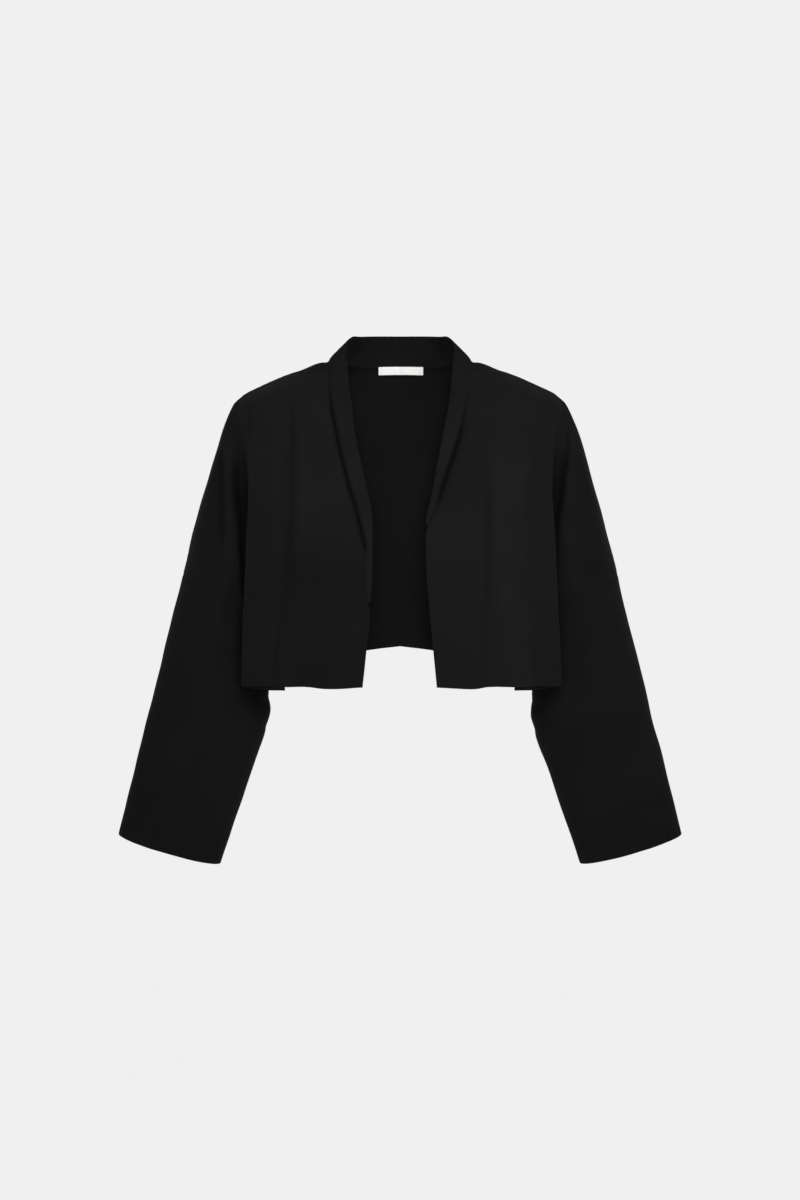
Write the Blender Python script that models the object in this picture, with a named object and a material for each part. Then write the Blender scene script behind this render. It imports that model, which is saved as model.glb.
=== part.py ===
"""Cropped open-front bolero jacket, hollow, shaped as it is worn with nobody in it.

Metres, +Z up, front towards -Y, the wearer's left at +X. The origin is the middle of the neck base, level with
the points where the shoulders meet the neck, which is where a wearer's neck and shoulders hold the jacket.
Each cloth piece is one closed wall, thickened both ways from a middle surface lofted through sections.
"""

import math
from collections import namedtuple

import bpy
import numpy as np

# Driving dimensions
CLOTH = 0.0016
COLLAR_CLOTH = 0.0024
COLLAR_ROLL = 0.0020
COLLAR_WIDTH = 0.045
LABEL_CLOTH = 0.0010
LABEL_WIDTH = 0.060
LABEL_HEIGHT = 0.013
LABEL_DROP = 0.0014
SEAM_GAP = 0.0003
FOLD_FADE = 0.050
UNDERARM_DEPTH = 0.310
SIDES = {"left": 1.0, "right": -1.0}

# Steps of the surface between the named points of a section
NECK_STEPS = (3, 3)
EDGE_STEPS = 5
BUST_STEPS = 4
FOLD_STEPS = (2, 2, 3)
ARM_STEPS = (4, 3, 2)
COLLAR_STEPS = 4
SLEEVE_ROWS = 14
BORDER_STEPS = 2

# Where the side of the upper arm lies between its front and the seam over it: shares along X, Y and Z
ARM_SIDE = (0.775, 0.30, 0.775)

# Depth below the neck of each row of faces, read at the front edge
ROW_DEPTHS = (
    0.015, 0.030, 0.047, 0.066, 0.087, 0.110, 0.134, 0.159, 0.179, 0.197,
    0.216, 0.238, 0.262, 0.283, 0.298, 0.310, 0.320, 0.334, 0.360, 0.384, 0.405,
)

# Sections across a front as x, y, z on the wearer's left. edge_y is how far forward the front edge lies, bust
# the middle of the front, before, fold and behind the long fold beside the arm, inner the bottom of the hollow
# behind it and then the side seam, arm the front of the upper arm, over the seam along the top of the arm.
FrontSection = namedtuple("FrontSection", "depth edge_y bust before fold behind inner arm over")
FRONT_SECTIONS = (
    FrontSection(0.015, -0.0200, (0.1300, -0.0030, -0.0158), (0.1660, 0.0030, -0.0288), (0.1760, 0.0035, -0.0332),
                 (0.1850, 0.0040, -0.0373), (0.1920, 0.0040, -0.0407), (0.1990, 0.0040, -0.0446),
                 (0.2054, 0.0040, -0.0497)),
    FrontSection(0.047, -0.0480, (0.1340, -0.0440, -0.0420), (0.1720, -0.0360, -0.0490), (0.1840, -0.0305, -0.0530),
                 (0.1935, -0.0255, -0.0563), (0.2010, -0.0200, -0.0592), (0.2090, -0.0110, -0.0612),
                 (0.2142, 0.0040, -0.0595)),
    FrontSection(0.087, -0.0735, (0.1310, -0.0735, -0.0850), (0.1760, -0.0620, -0.0890), (0.1890, -0.0545, -0.0920),
                 (0.1960, -0.0475, -0.0945), (0.2030, -0.0420, -0.0965), (0.2160, -0.0310, -0.0965),
                 (0.2258, 0.0030, -0.0870)),
    FrontSection(0.134, -0.0945, (0.1280, -0.0965, -0.1330), (0.1780, -0.0780, -0.1350), (0.1900, -0.0680, -0.1360),
                 (0.1930, -0.0560, -0.1380), (0.1990, -0.0460, -0.1400), (0.2175, -0.0430, -0.1395),
                 (0.2405, 0.0010, -0.1320)),
    FrontSection(0.185, -0.1115, (0.1240, -0.1125, -0.1850), (0.1800, -0.0870, -0.1860), (0.1915, -0.0765, -0.1870),
                 (0.1890, -0.0610, -0.1900), (0.1920, -0.0420, -0.1950), (0.2180, -0.0470, -0.1950),
                 (0.2562, 0.0000, -0.1850)),
    FrontSection(0.238, -0.1215, (0.1190, -0.1205, -0.2380), (0.1825, -0.0895, -0.2390), (0.1940, -0.0790, -0.2400),
                 (0.1850, -0.0600, -0.2440), (0.1835, -0.0350, -0.2520), (0.2180, -0.0480, -0.2480),
                 (0.2702, 0.0000, -0.2335)),
    FrontSection(0.286, -0.1250, (0.1160, -0.1230, -0.2860), (0.1840, -0.0900, -0.2870), (0.1960, -0.0785, -0.2880),
                 (0.1800, -0.0560, -0.2900), (0.1755, -0.0250, -0.2975), (0.2215, -0.0455, -0.2830),
                 (0.2775, 0.0000, -0.2630)),
    FrontSection(0.310, -0.1260, (0.1160, -0.1230, -0.3100), (0.1850, -0.0895, -0.3110), (0.1970, -0.0780, -0.3120),
                 (0.1755, -0.0520, -0.3120), (0.1700, 0.0000, -0.3120), None, (0.2813, 0.0000, -0.2784)),
    FrontSection(0.320, -0.1258, (0.1163, -0.1227, -0.3205), (0.1855, -0.0893, -0.3213), (0.1975, -0.0778, -0.3218),
                 (0.1755, -0.0515, -0.3222), (0.1648, 0.0010, -0.3230), None, None),
    FrontSection(0.334, -0.1255, (0.1167, -0.1222, -0.3345), (0.1862, -0.0889, -0.3355), (0.1980, -0.0774, -0.3363),
                 (0.1760, -0.0510, -0.3372), (0.1608, 0.0020, -0.3395), None, None),
    FrontSection(0.360, -0.1245, (0.1180, -0.1205, -0.3615), (0.1875, -0.0880, -0.3630), (0.1995, -0.0760, -0.3640),
                 (0.1780, -0.0500, -0.3665), (0.1565, 0.0030, -0.3725), None, None),
    FrontSection(0.405, -0.1220, (0.1200, -0.1175, -0.4075), (0.1895, -0.0850, -0.4117), (0.2015, -0.0730, -0.4134),
                 (0.1790, -0.0460, -0.4190), (0.1515, 0.0050, -0.4288), None, None),
)

# Sections across half of the back, out from the centre line: centre, blade and beside lie behind the neck,
# the others are those of a front. The side seam and the seam over the arm are taken from the front.
BackSection = namedtuple("BackSection", "depth centre blade beside bust before fold behind inner arm")
BACK_SECTIONS = (
    BackSection(0.030, (0.0, 0.0785, -0.0290), (0.0745, 0.0565, -0.0165), (0.1000, 0.0000, -0.0048),
                (0.1325, 0.0130, -0.0175), (0.1685, 0.0180, -0.0345), (0.1795, 0.0170, -0.0400),
                (0.1885, 0.0150, -0.0445), (0.1965, 0.0125, -0.0480), (0.2065, 0.0090, -0.0540)),
    BackSection(0.047, (0.0, 0.0865, -0.0460), (0.0700, 0.0695, -0.0310), (0.1010, 0.0310, -0.0125),
                (0.1340, 0.0360, -0.0290), (0.1715, 0.0340, -0.0460), (0.1835, 0.0300, -0.0510),
                (0.1930, 0.0255, -0.0550), (0.2005, 0.0215, -0.0592), (0.2095, 0.0140, -0.0610)),
    BackSection(0.087, (0.0, 0.1015, -0.0860), (0.0620, 0.0930, -0.0790), (0.0995, 0.0755, -0.0640),
                (0.1320, 0.0700, -0.0770), (0.1750, 0.0590, -0.0870), (0.1880, 0.0520, -0.0910),
                (0.1970, 0.0460, -0.0940), (0.2040, 0.0400, -0.0965), (0.2165, 0.0290, -0.0965)),
    BackSection(0.134, (0.0, 0.1105, -0.1310), (0.0560, 0.1070, -0.1290), (0.0980, 0.0980, -0.1240),
                (0.1300, 0.0920, -0.1290), (0.1770, 0.0735, -0.1340), (0.1900, 0.0640, -0.1360),
                (0.1940, 0.0540, -0.1380), (0.2005, 0.0450, -0.1400), (0.2190, 0.0410, -0.1395)),
    BackSection(0.185, (0.0, 0.1145, -0.1790), (0.0510, 0.1133, -0.1800), (0.0970, 0.1080, -0.1810),
                (0.1280, 0.1020, -0.1835), (0.1780, 0.0800, -0.1860), (0.1905, 0.0700, -0.1870),
                (0.1890, 0.0580, -0.1900), (0.1930, 0.0410, -0.1950), (0.2190, 0.0450, -0.1950)),
    BackSection(0.238, (0.0, 0.1145, -0.2290), (0.0480, 0.1138, -0.2310), (0.0970, 0.1100, -0.2340),
                (0.1260, 0.1050, -0.2360), (0.1795, 0.0810, -0.2390), (0.1915, 0.0710, -0.2400),
                (0.1845, 0.0560, -0.2440), (0.1835, 0.0340, -0.2520), (0.2190, 0.0460, -0.2480)),
    BackSection(0.286, (0.0, 0.1125, -0.2730), (0.0470, 0.1118, -0.2765), (0.0970, 0.1085, -0.2800),
                (0.1260, 0.1035, -0.2830), (0.1800, 0.0800, -0.2870), (0.1920, 0.0700, -0.2880),
                (0.1795, 0.0530, -0.2900), (0.1755, 0.0250, -0.2975), (0.2225, 0.0450, -0.2830)),
    BackSection(0.310, (0.0, 0.1115, -0.2955), (0.0470, 0.1108, -0.2990), (0.0970, 0.1075, -0.3030),
                (0.1260, 0.1025, -0.3065), (0.1800, 0.0795, -0.3110), (0.1920, 0.0690, -0.3120),
                (0.1755, 0.0500, -0.3120), None, None),
    BackSection(0.320, (0.0, 0.1110, -0.3050), (0.0465, 0.1103, -0.3085), (0.0970, 0.1070, -0.3130),
                (0.1260, 0.1020, -0.3165), (0.1800, 0.0791, -0.3210), (0.1920, 0.0686, -0.3218),
                (0.1755, 0.0495, -0.3222), None, None),
    BackSection(0.334, (0.0, 0.1100, -0.3180), (0.0463, 0.1093, -0.3220), (0.0970, 0.1060, -0.3270),
                (0.1260, 0.1010, -0.3305), (0.1800, 0.0785, -0.3353), (0.1920, 0.0680, -0.3363),
                (0.1765, 0.0490, -0.3372), None, None),
    BackSection(0.360, (0.0, 0.1080, -0.3430), (0.0455, 0.1073, -0.3475), (0.0970, 0.1035, -0.3540),
                (0.1255, 0.0985, -0.3580), (0.1805, 0.0765, -0.3640), (0.1920, 0.0660, -0.3655),
                (0.1760, 0.0460, -0.3675), None, None),
    BackSection(0.405, (0.0, 0.1040, -0.3850), (0.0443, 0.1030, -0.3905), (0.0970, 0.0995, -0.4005),
                (0.1250, 0.0945, -0.4055), (0.1810, 0.0730, -0.4120), (0.1920, 0.0630, -0.4140),
                (0.1750, 0.0400, -0.4190), None, None),
)

# The neckband down each front: where its seam and its free edge lie at each depth
BandSection = namedtuple("BandSection", "depth seam_x free_x free_y free_z")
BAND = {
    "right": (
        BandSection(0.0150, 0.0915, 0.0663, -0.0190, -0.0150), BandSection(0.0390, 0.0893, 0.0643, -0.0335, -0.0385),
        BandSection(0.0610, 0.0862, 0.0605, -0.0490, -0.0600), BandSection(0.0862, 0.0808, 0.0573, -0.0665, -0.0855),
        BandSection(0.1205, 0.0733, 0.0505, -0.0865, -0.1200), BandSection(0.1505, 0.0655, 0.0437, -0.0985, -0.1500),
        BandSection(0.1897, 0.0536, 0.0348, -0.1105, -0.1890), BandSection(0.2165, 0.0471, 0.0333, -0.1170, -0.2160),
        BandSection(0.2380, 0.0425, 0.0333, -0.1212, -0.2378), BandSection(0.2620, 0.0372, 0.0334, -0.1240, -0.2618),
    ),
    "left": (
        BandSection(0.0150, 0.0915, 0.0663, -0.0190, -0.0150), BandSection(0.0458, 0.0852, 0.0635, -0.0385, -0.0455),
        BandSection(0.0645, 0.0806, 0.0603, -0.0520, -0.0640), BandSection(0.0893, 0.0757, 0.0553, -0.0690, -0.0885),
        BandSection(0.1261, 0.0639, 0.0472, -0.0890, -0.1260), BandSection(0.1457, 0.0569, 0.0433, -0.0967, -0.1455),
        BandSection(0.1640, 0.0505, 0.0397, -0.1030, -0.1640), BandSection(0.1848, 0.0440, 0.0352, -0.1098, -0.1846),
        BandSection(0.1970, 0.0368, 0.0323, -0.1132, -0.1970),
    ),
}
FrontEdge = namedtuple("FrontEdge", "depth x")
FRONT_EDGE = {
    "right": (FrontEdge(0.286, 0.0351), FrontEdge(0.320, 0.0372), FrontEdge(0.360, 0.0415), FrontEdge(0.405, 0.0466)),
    "left": (FrontEdge(0.216, 0.0321), FrontEdge(0.238, 0.0320), FrontEdge(0.262, 0.0326), FrontEdge(0.310, 0.0364),
             FrontEdge(0.360, 0.0412), FrontEdge(0.405, 0.0458)),
}

# The neckband round the back of the neck, from the centre back to the shoulder
NeckSection = namedtuple("NeckSection", "seam free")
NECK_SECTIONS = (
    NeckSection((0.0000, 0.0700, -0.0133), (0.0000, 0.0635, 0.0304)),
    NeckSection((0.0360, 0.0650, -0.0128), (0.0300, 0.0595, 0.0304)),
    NeckSection((0.0640, 0.0490, -0.0100), (0.0500, 0.0480, 0.0297)),
    NeckSection((0.0825, 0.0240, -0.0050), (0.0625, 0.0270, 0.0265)),
    NeckSection((0.0890, 0.0000, -0.0018), (0.0690, 0.0030, 0.0158)),
)

# Rings down a sleeve from the armhole to the cuff: x and z of its outer and inner ends, its depth each way,
# and how far its two halves lean apart at the inner end, which keeps them clear of the torso under the arm
SleeveRing = namedtuple("SleeveRing", "out_x out_z in_x in_z mid_y front_depth back_depth lean")
SLEEVE_RINGS = (
    SleeveRing(0.2813, -0.2784, 0.1700, -0.3120, 0.0000, 0.0450, 0.0450, 0.026),
    SleeveRing(0.2838, -0.2880, 0.1752, -0.3205, 0.0000, 0.0453, 0.0452, 0.020),
    SleeveRing(0.2872, -0.3015, 0.1768, -0.3345, 0.0000, 0.0456, 0.0455, 0.015),
    SleeveRing(0.2950, -0.3320, 0.1768, -0.3680, -0.0010, 0.0460, 0.0460, 0.012),
    SleeveRing(0.3062, -0.3750, 0.1748, -0.4120, -0.0030, 0.0460, 0.0460, 0.009),
    SleeveRing(0.3175, -0.4200, 0.1712, -0.4560, -0.0050, 0.0450, 0.0440, 0.007),
    SleeveRing(0.3262, -0.4550, 0.1770, -0.4860, -0.0070, 0.0435, 0.0420, 0.006),
    SleeveRing(0.3392, -0.5060, 0.1935, -0.5330, -0.0110, 0.0400, 0.0390, 0.005),
    SleeveRing(0.3535, -0.5625, 0.2140, -0.5905, -0.0160, 0.0350, 0.0350, 0.004),
    SleeveRing(0.3676, -0.6185, 0.2364, -0.6575, -0.0200, 0.0300, 0.0310, 0.003),
)

# Soft hanging folds: x at each listed z, the half width, and how far the cloth stands out (in where negative)
Fold = namedtuple("Fold", "piece line half_width push")
FOLDS = (
    Fold("front_right", ((-0.124, -0.060), (-0.126, -0.250), (-0.132, -0.310), (-0.142, -0.405)), 0.013, 0.0030),
    Fold("front_right", ((-0.147, -0.075), (-0.147, -0.250), (-0.154, -0.310), (-0.170, -0.405)), 0.013, -0.0030),
    Fold("front_left", ((0.107, -0.070), (0.104, -0.200), (0.101, -0.310), (0.106, -0.405)), 0.013, -0.0025),
    Fold("front_left", ((0.128, -0.060), (0.126, -0.240), (0.134, -0.310), (0.150, -0.405)), 0.015, 0.0035),
    Fold("front_left", ((0.176, -0.095), (0.172, -0.200), (0.172, -0.310), (0.176, -0.405)), 0.011, -0.0022),
    Fold("back", ((-0.126, -0.070), (-0.130, -0.240), (-0.136, -0.405)), 0.016, -0.0030),
    Fold("back", ((-0.052, -0.125), (-0.058, -0.240), (-0.066, -0.405)), 0.020, 0.0035),
    Fold("back", ((0.006, -0.120), (0.004, -0.240), (0.010, -0.405)), 0.018, -0.0022),
    Fold("back", ((0.060, -0.130), (0.068, -0.240), (0.080, -0.405)), 0.018, 0.0032),
    Fold("back", ((0.120, -0.070), (0.126, -0.240), (0.136, -0.405)), 0.015, -0.0030),
)

Look = namedtuple("Look", "name colour roughness")
BLACK_CREPE = Look("black_crepe", (0.0105, 0.0105, 0.0110), 0.82)
WHITE_SATIN = Look("white_satin", (0.83, 0.83, 0.82), 0.45)
SHARP_ANGLE = math.radians(50)

TORSO_STEPS = (EDGE_STEPS, BUST_STEPS, *FOLD_STEPS)
TORSO_COUNT = sum(TORSO_STEPS)
NECK_COUNT = sum(NECK_STEPS)
ARM_COUNT = sum(ARM_STEPS)
ARM_ROWS = sum(depth <= UNDERARM_DEPTH for depth in ROW_DEPTHS)


def through(knots, rows, wanted):
    """The smooth curve through rows, which lie at increasing knots, read at the wanted knots."""
    knots = np.asarray(knots, float)
    rows = np.asarray(rows, float)
    wanted = np.atleast_1d(np.asarray(wanted, float))
    gaps = np.diff(knots).reshape((-1,) + (1,) * (rows.ndim - 1))
    slopes = np.diff(rows, axis=0) / gaps
    leans = np.empty_like(rows)
    leans[0], leans[-1] = slopes[0], slopes[-1]
    leans[1:-1] = (slopes[1:] * gaps[:-1] + slopes[:-1] * gaps[1:]) / (gaps[1:] + gaps[:-1])
    cell = np.clip(np.searchsorted(knots, wanted, side="right") - 1, 0, len(knots) - 2)
    step = gaps[cell]
    t = (wanted - knots[cell]).reshape(step.shape) / step
    return (
        rows[cell] * (2 * t**3 - 3 * t**2 + 1)
        + leans[cell] * step * (t**3 - 2 * t**2 + t)
        + rows[cell + 1] * (3 * t**2 - 2 * t**3)
        + leans[cell + 1] * step * (t**3 - t**2)
    )


def arc_knots(points, power=1.0):
    """Knots for a curve through points, spaced by the distances between them."""
    spans = np.linalg.norm(np.diff(np.asarray(points, float), axis=0), axis=1)
    return np.concatenate([[0.0], np.cumsum(spans**power)])


def section_curve(points, steps, beyond=None):
    """Points along the smooth curve through points, in so many steps from each point to the next.

    beyond is a further point which only sets how the curve ends.
    """
    full = list(points) if beyond is None else [*points, beyond]
    knots = arc_knots(full, 0.5)
    wanted = [knots[0]]
    for i, count in enumerate(steps):
        wanted.extend(np.linspace(knots[i], knots[i + 1], count + 1)[1:])
    return through(knots, full, wanted)


def half_ring(start, end, depth, lean, count):
    """Half of a rounded ring from start to end, bulging by depth along Y. lean opens it out at the start."""
    start, end = np.asarray(start, float), np.asarray(end, float)
    handle = np.array([0.0, depth * 4 / 3, 0.0])
    t = np.linspace(0.0, 1.0, count + 1)[:, None]
    return (
        (1 - t) ** 3 * start
        + 3 * (1 - t) ** 2 * t * (start + handle + np.array([lean, 0.0, 0.0]))
        + 3 * (1 - t) * t**2 * (end + handle)
        + t**3 * end
    )


def front_edge(side, depth):
    """A point of a front's neck seam or, below the end of the neckband, of its free front edge."""
    rows = [(row.depth, row.seam_x) for row in BAND[side]] + [(row.depth, row.x) for row in FRONT_EDGE[side]]
    x = through([row[0] for row in rows], [row[1] for row in rows], depth)[0]
    y = through([row.depth for row in FRONT_SECTIONS], [row.edge_y for row in FRONT_SECTIONS], depth)[0]
    return np.array([x, y, -depth])


def seam_line(name, rows):
    """The points of the seam inner or over of the front's sections, read at the wanted rows."""
    known = [(row.depth, getattr(row, name)) for row in FRONT_SECTIONS if getattr(row, name) is not None]
    return through([row[0] for row in known], [row[1] for row in known], rows)


def arm_side(arm, over):
    return np.asarray(arm) + (np.asarray(over) - np.asarray(arm)) * np.array(ARM_SIDE)


def whole_curve(torso, steps, arm, over, bulge):
    """One section, split where its torso meets its arm. The arm is None below the armhole."""
    if over is None:
        return section_curve(torso, steps), None
    if arm is None:
        ring = half_ring(torso[-1], over, bulge, SLEEVE_RINGS[0].lean, ARM_COUNT)
        return section_curve(torso, steps), ring
    side = arm_side(arm, over)
    beyond = (side[0], 2 * over[1] - side[1], side[2])
    curve = section_curve([*torso, arm, side, over], (*steps, *ARM_STEPS), beyond)
    return curve[: sum(steps) + 1], curve[sum(steps) :]


def shoulder_seam():
    """The seam from the neck to the top of the arm, which is the first section of a front."""
    top = FRONT_SECTIONS[0]
    torso = [front_edge("left", top.depth), top.bust, top.before, top.fold, top.behind, top.inner]
    return section_curve([*torso, top.arm, arm_side(top.arm, top.over), top.over], (*TORSO_STEPS, *ARM_STEPS))


def lofted(depths, curves):
    """The torso and arm grids through a list of whole_curve results at their depths."""
    torso = through(depths, [curve[0] for curve in curves], ROW_DEPTHS)
    upper = [(depth, curve[1]) for depth, curve in zip(depths, curves) if curve[1] is not None]
    arm = through([row[0] for row in upper], [row[1] for row in upper], ROW_DEPTHS[:ARM_ROWS])
    arm[:, 0] = torso[:ARM_ROWS, -1]
    return torso, arm


def folded(grid, piece, sign, outward_y):
    """The grid with its piece's soft folds pressed in. Its top, first and last lines stay as they are."""
    shift = np.zeros(grid.shape[:2])
    for fold in FOLDS:
        if fold.piece != piece:
            continue
        z = np.array([point[1] for point in fold.line])
        x = np.array([point[0] for point in fold.line])
        line = np.interp(-grid[:, :, 2], -z, x)
        rise = np.clip((z[0] + FOLD_FADE - grid[:, :, 2]) / FOLD_FADE, 0.0, 1.0)
        rise = rise * rise * (3 - 2 * rise)
        shift += fold.push * rise * np.exp(-(((grid[:, :, 0] * sign - line) / fold.half_width) ** 2))
    columns = np.arange(grid.shape[1])
    ease = np.clip(np.minimum(columns, columns[::-1]) / BORDER_STEPS, 0.0, 1.0)
    normal = np.cross(np.gradient(grid, axis=0), np.gradient(grid, axis=1))
    normal /= np.linalg.norm(normal, axis=2, keepdims=True)
    outward = np.sign(np.median(normal[:, :, 1])) * outward_y
    moved = grid + normal * (outward * shift * ease)[:, :, None]
    moved[0] = grid[0]
    return moved


def front_grids(side):
    """The torso and arm grids of one front, on the wearer's left."""
    seam = shoulder_seam()
    curves = [(seam[: TORSO_COUNT + 1], seam[TORSO_COUNT:])]
    for row in FRONT_SECTIONS[1:]:
        torso = [front_edge(side, row.depth), row.bust, row.before, row.fold, row.behind, row.inner]
        curves.append(whole_curve(torso, TORSO_STEPS, row.arm, row.over, -SLEEVE_RINGS[0].front_depth))
    torso, arm = lofted([row.depth for row in FRONT_SECTIONS], curves)
    torso[:, 0] = [front_edge(side, depth) for depth in ROW_DEPTHS]
    return folded(torso, "front_" + side, SIDES[side], -1.0), arm


def back_grids():
    """The torso grid of the whole back, from the wearer's right to the left, and the arm grid on the left."""
    seam = shoulder_seam()
    top = np.vstack([neck_curves(NECK_COUNT)[0], seam[1 : TORSO_COUNT + 1]])
    depths = [ROW_DEPTHS[0]] + [row.depth for row in BACK_SECTIONS]
    curves = [(top, seam[TORSO_COUNT:])]
    for row in BACK_SECTIONS:
        inner = row.inner or seam_line("inner", row.depth)[0]
        over = seam_line("over", row.depth)[0] if row.depth <= UNDERARM_DEPTH else None
        torso = [row.centre, row.blade, row.beside, row.bust, row.before, row.fold, row.behind, inner]
        curves.append(whole_curve(torso, (*NECK_STEPS, *TORSO_STEPS), row.arm, over, SLEEVE_RINGS[0].back_depth))
    half, arm = lofted(depths, curves)
    half[ARM_ROWS - 1 :, -1] = seam_line("inner", ROW_DEPTHS[ARM_ROWS - 1 :])
    arm[:, -1] = seam_line("over", ROW_DEPTHS[:ARM_ROWS])
    whole = np.concatenate([half[:, :0:-1] * np.array([-1.0, 1.0, 1.0]), half], axis=1)
    return folded(whole, "back", 1.0, 1.0), arm


def sleeve_grid():
    """The rings of one sleeve on the wearer's left, each from its inner end round the front and back again."""
    rings = []
    for ring in SLEEVE_RINGS:
        inner = (ring.in_x, ring.mid_y, ring.in_z)
        outer = (ring.out_x, ring.mid_y, ring.out_z)
        front = half_ring(inner, outer, -ring.front_depth, ring.lean, ARM_COUNT)
        back = half_ring(inner, outer, ring.back_depth, ring.lean, ARM_COUNT)
        rings.append(np.vstack([front, back[-2::-1]]))
    knots = arc_knots([(ring.out_x + ring.in_x, ring.out_z + ring.in_z) for ring in SLEEVE_RINGS])
    wanted = [*knots[:3], *np.linspace(knots[2], knots[-1], SLEEVE_ROWS - 2)[1:]]
    return through(knots, rings, wanted)


def neck_curves(count):
    """Seam and free edge of the neckband from the centre back to the shoulder seam."""
    join = BAND["left"][0]
    seam = [*(row.seam for row in NECK_SECTIONS), front_edge("left", join.depth)]
    free = [*(row.free for row in NECK_SECTIONS), (join.free_x, join.free_y, join.free_z)]
    knots = arc_knots(seam)
    wanted = np.linspace(0.0, knots[-1], count + 1)
    return through(knots, seam, wanted), through(knots, free, wanted)


def both_sides(left, right):
    """One line of points from the wearer's right to the left, out of two that start at the centre."""
    return np.vstack([right[:0:-1] * np.array([-1.0, 1.0, 1.0]), left])


def collar_grid():
    """The neckband from its end on the wearer's right, round the back of the neck, to its end on the left."""
    neck_seam, neck_free = neck_curves(NECK_COUNT)
    seams, frees = {}, {}
    for side in SIDES:
        band = BAND[side]
        rows = [depth for depth in ROW_DEPTHS if depth <= band[-1].depth]
        free = through([row.depth for row in band], [(row.free_x, row.free_y, row.free_z) for row in band], rows)
        seams[side] = np.vstack([neck_seam, [front_edge(side, depth) for depth in rows[1:]]])
        frees[side] = np.vstack([neck_free, free[1:]])
    seam = both_sides(seams["left"], seams["right"])
    free = both_sides(frees["left"], frees["right"])
    across = free - seam
    out = np.cross(across, np.gradient(seam, axis=0))
    out /= np.linalg.norm(out, axis=1, keepdims=True)
    roll = COLLAR_ROLL * np.linalg.norm(across, axis=1, keepdims=True) / COLLAR_WIDTH
    shares = np.linspace(0.0, 1.0, COLLAR_STEPS + 1)
    return np.stack([seam + across * share + out * roll * 4 * share * (1 - share) for share in shares], axis=1)


def label_grid():
    """The label on the inside of the neckband, across its seam at the centre back."""
    seam, free = (both_sides(line, line) for line in neck_curves(NECK_COUNT))
    run = arc_knots(seam) - arc_knots(seam)[NECK_COUNT]
    reach = LABEL_WIDTH / 2
    wanted = np.array([-reach, *run[abs(run) < reach], reach])
    base, top = (np.stack([np.interp(wanted, run, line[:, i]) for i in range(3)], axis=1) for line in (seam, free))
    up = (top - base) / np.linalg.norm(top - base, axis=1, keepdims=True)
    inward = np.cross(np.gradient(base, axis=0), up)
    inward /= np.linalg.norm(inward, axis=1, keepdims=True)
    lift = COLLAR_CLOTH / 2 + SEAM_GAP + LABEL_CLOTH / 2
    heights = np.array([-0.5, 0.0, 0.5]) * LABEL_HEIGHT - LABEL_DROP
    return np.stack([base + up * height + inward * lift for height in heights], axis=1)


class Surface:
    """Quads over points which several grids can share."""

    def __init__(self):
        self.points = []
        self.index = {}
        self.quads = []

    def add_point(self, point):
        key = tuple(int(round(value * 1e6)) for value in point)
        if key not in self.index:
            self.index[key] = len(self.points)
            self.points.append(np.array(point, float))
        return self.index[key]

    def add_grid(self, grid, flipped):
        """Adds a grid of points as faces. flipped turns the faces round."""
        ids = [[self.add_point(point) for point in row] for row in grid]
        for upper, lower in zip(ids, ids[1:]):
            for j in range(len(upper) - 1):
                quad = [upper[j], lower[j], lower[j + 1], upper[j + 1]]
                self.quads.append(quad[::-1] if flipped else quad)

    def normals(self):
        """One unit normal for each point, the mean of the faces round it."""
        points = np.array(self.points)
        normals = np.zeros_like(points)
        for quad in self.quads:
            corner = points[quad]
            face = np.cross(corner[2] - corner[0], corner[3] - corner[1])
            for i in quad:
                normals[i] += face
        return normals / np.linalg.norm(normals, axis=1, keepdims=True)


def triangles(quads, points):
    """Each face split in two across its shorter diagonal."""
    faces = []
    for a, b, c, d in quads:
        if np.linalg.norm(points[a] - points[c]) <= np.linalg.norm(points[b] - points[d]):
            faces += [[a, b, c], [a, c, d]]
        else:
            faces += [[a, b, d], [b, c, d]]
    return faces


def border_edges(quads):
    """The edges that only one face uses, in that face's direction."""
    edges = {(a, b) for quad in quads for a, b in zip(quad, quad[1:] + quad[:1])}
    return sorted((a, b) for a, b in edges if (b, a) not in edges)


def drawn_in(points, normals, edges, amount):
    """The points with the border moved by amount into its own cloth, which leaves the seams their gap."""
    pulls = {}
    for a, b in edges:
        for i in (a, b):
            inward = np.cross(normals[i], points[b] - points[a])
            pulls.setdefault(i, []).append(inward / np.linalg.norm(inward))
    moved = points.copy()
    for i, (first, second) in pulls.items():
        moved[i] += (first + second) * amount / max(1.0 + float(first @ second), 0.5)
    return moved


def add_wall(name, surface, normal_at, thickness, material):
    """Adds one closed cloth wall, half of its thickness to each side of the surface."""
    points = np.array(surface.points)
    normals = np.array([normal_at[key] for key in surface.index])
    edges = border_edges(surface.quads)
    middle = drawn_in(points, normals, edges, SEAM_GAP / 2)
    count = len(points)
    walls = np.vstack([middle + normals * thickness / 2, middle - normals * thickness / 2])
    faces = triangles(surface.quads, points)
    faces += [[i + count for i in reversed(face)] for face in faces]
    faces += triangles([[b, a, a + count, b + count] for a, b in edges], walls)
    mesh = bpy.data.meshes.new(name)
    mesh.from_pydata(walls.tolist(), [], faces)
    mesh.shade_smooth()
    mesh.set_sharp_from_angle(angle=SHARP_ANGLE)
    mesh.materials.append(material)
    bpy.context.scene.collection.objects.link(bpy.data.objects.new(name, mesh))


def material_of(look):
    material = bpy.data.materials.new(look.name)
    material.use_nodes = True
    shader = material.node_tree.nodes["Principled BSDF"]
    shader.inputs["Base Color"].default_value = (*look.colour, 1.0)
    shader.inputs["Roughness"].default_value = look.roughness
    return material


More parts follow.
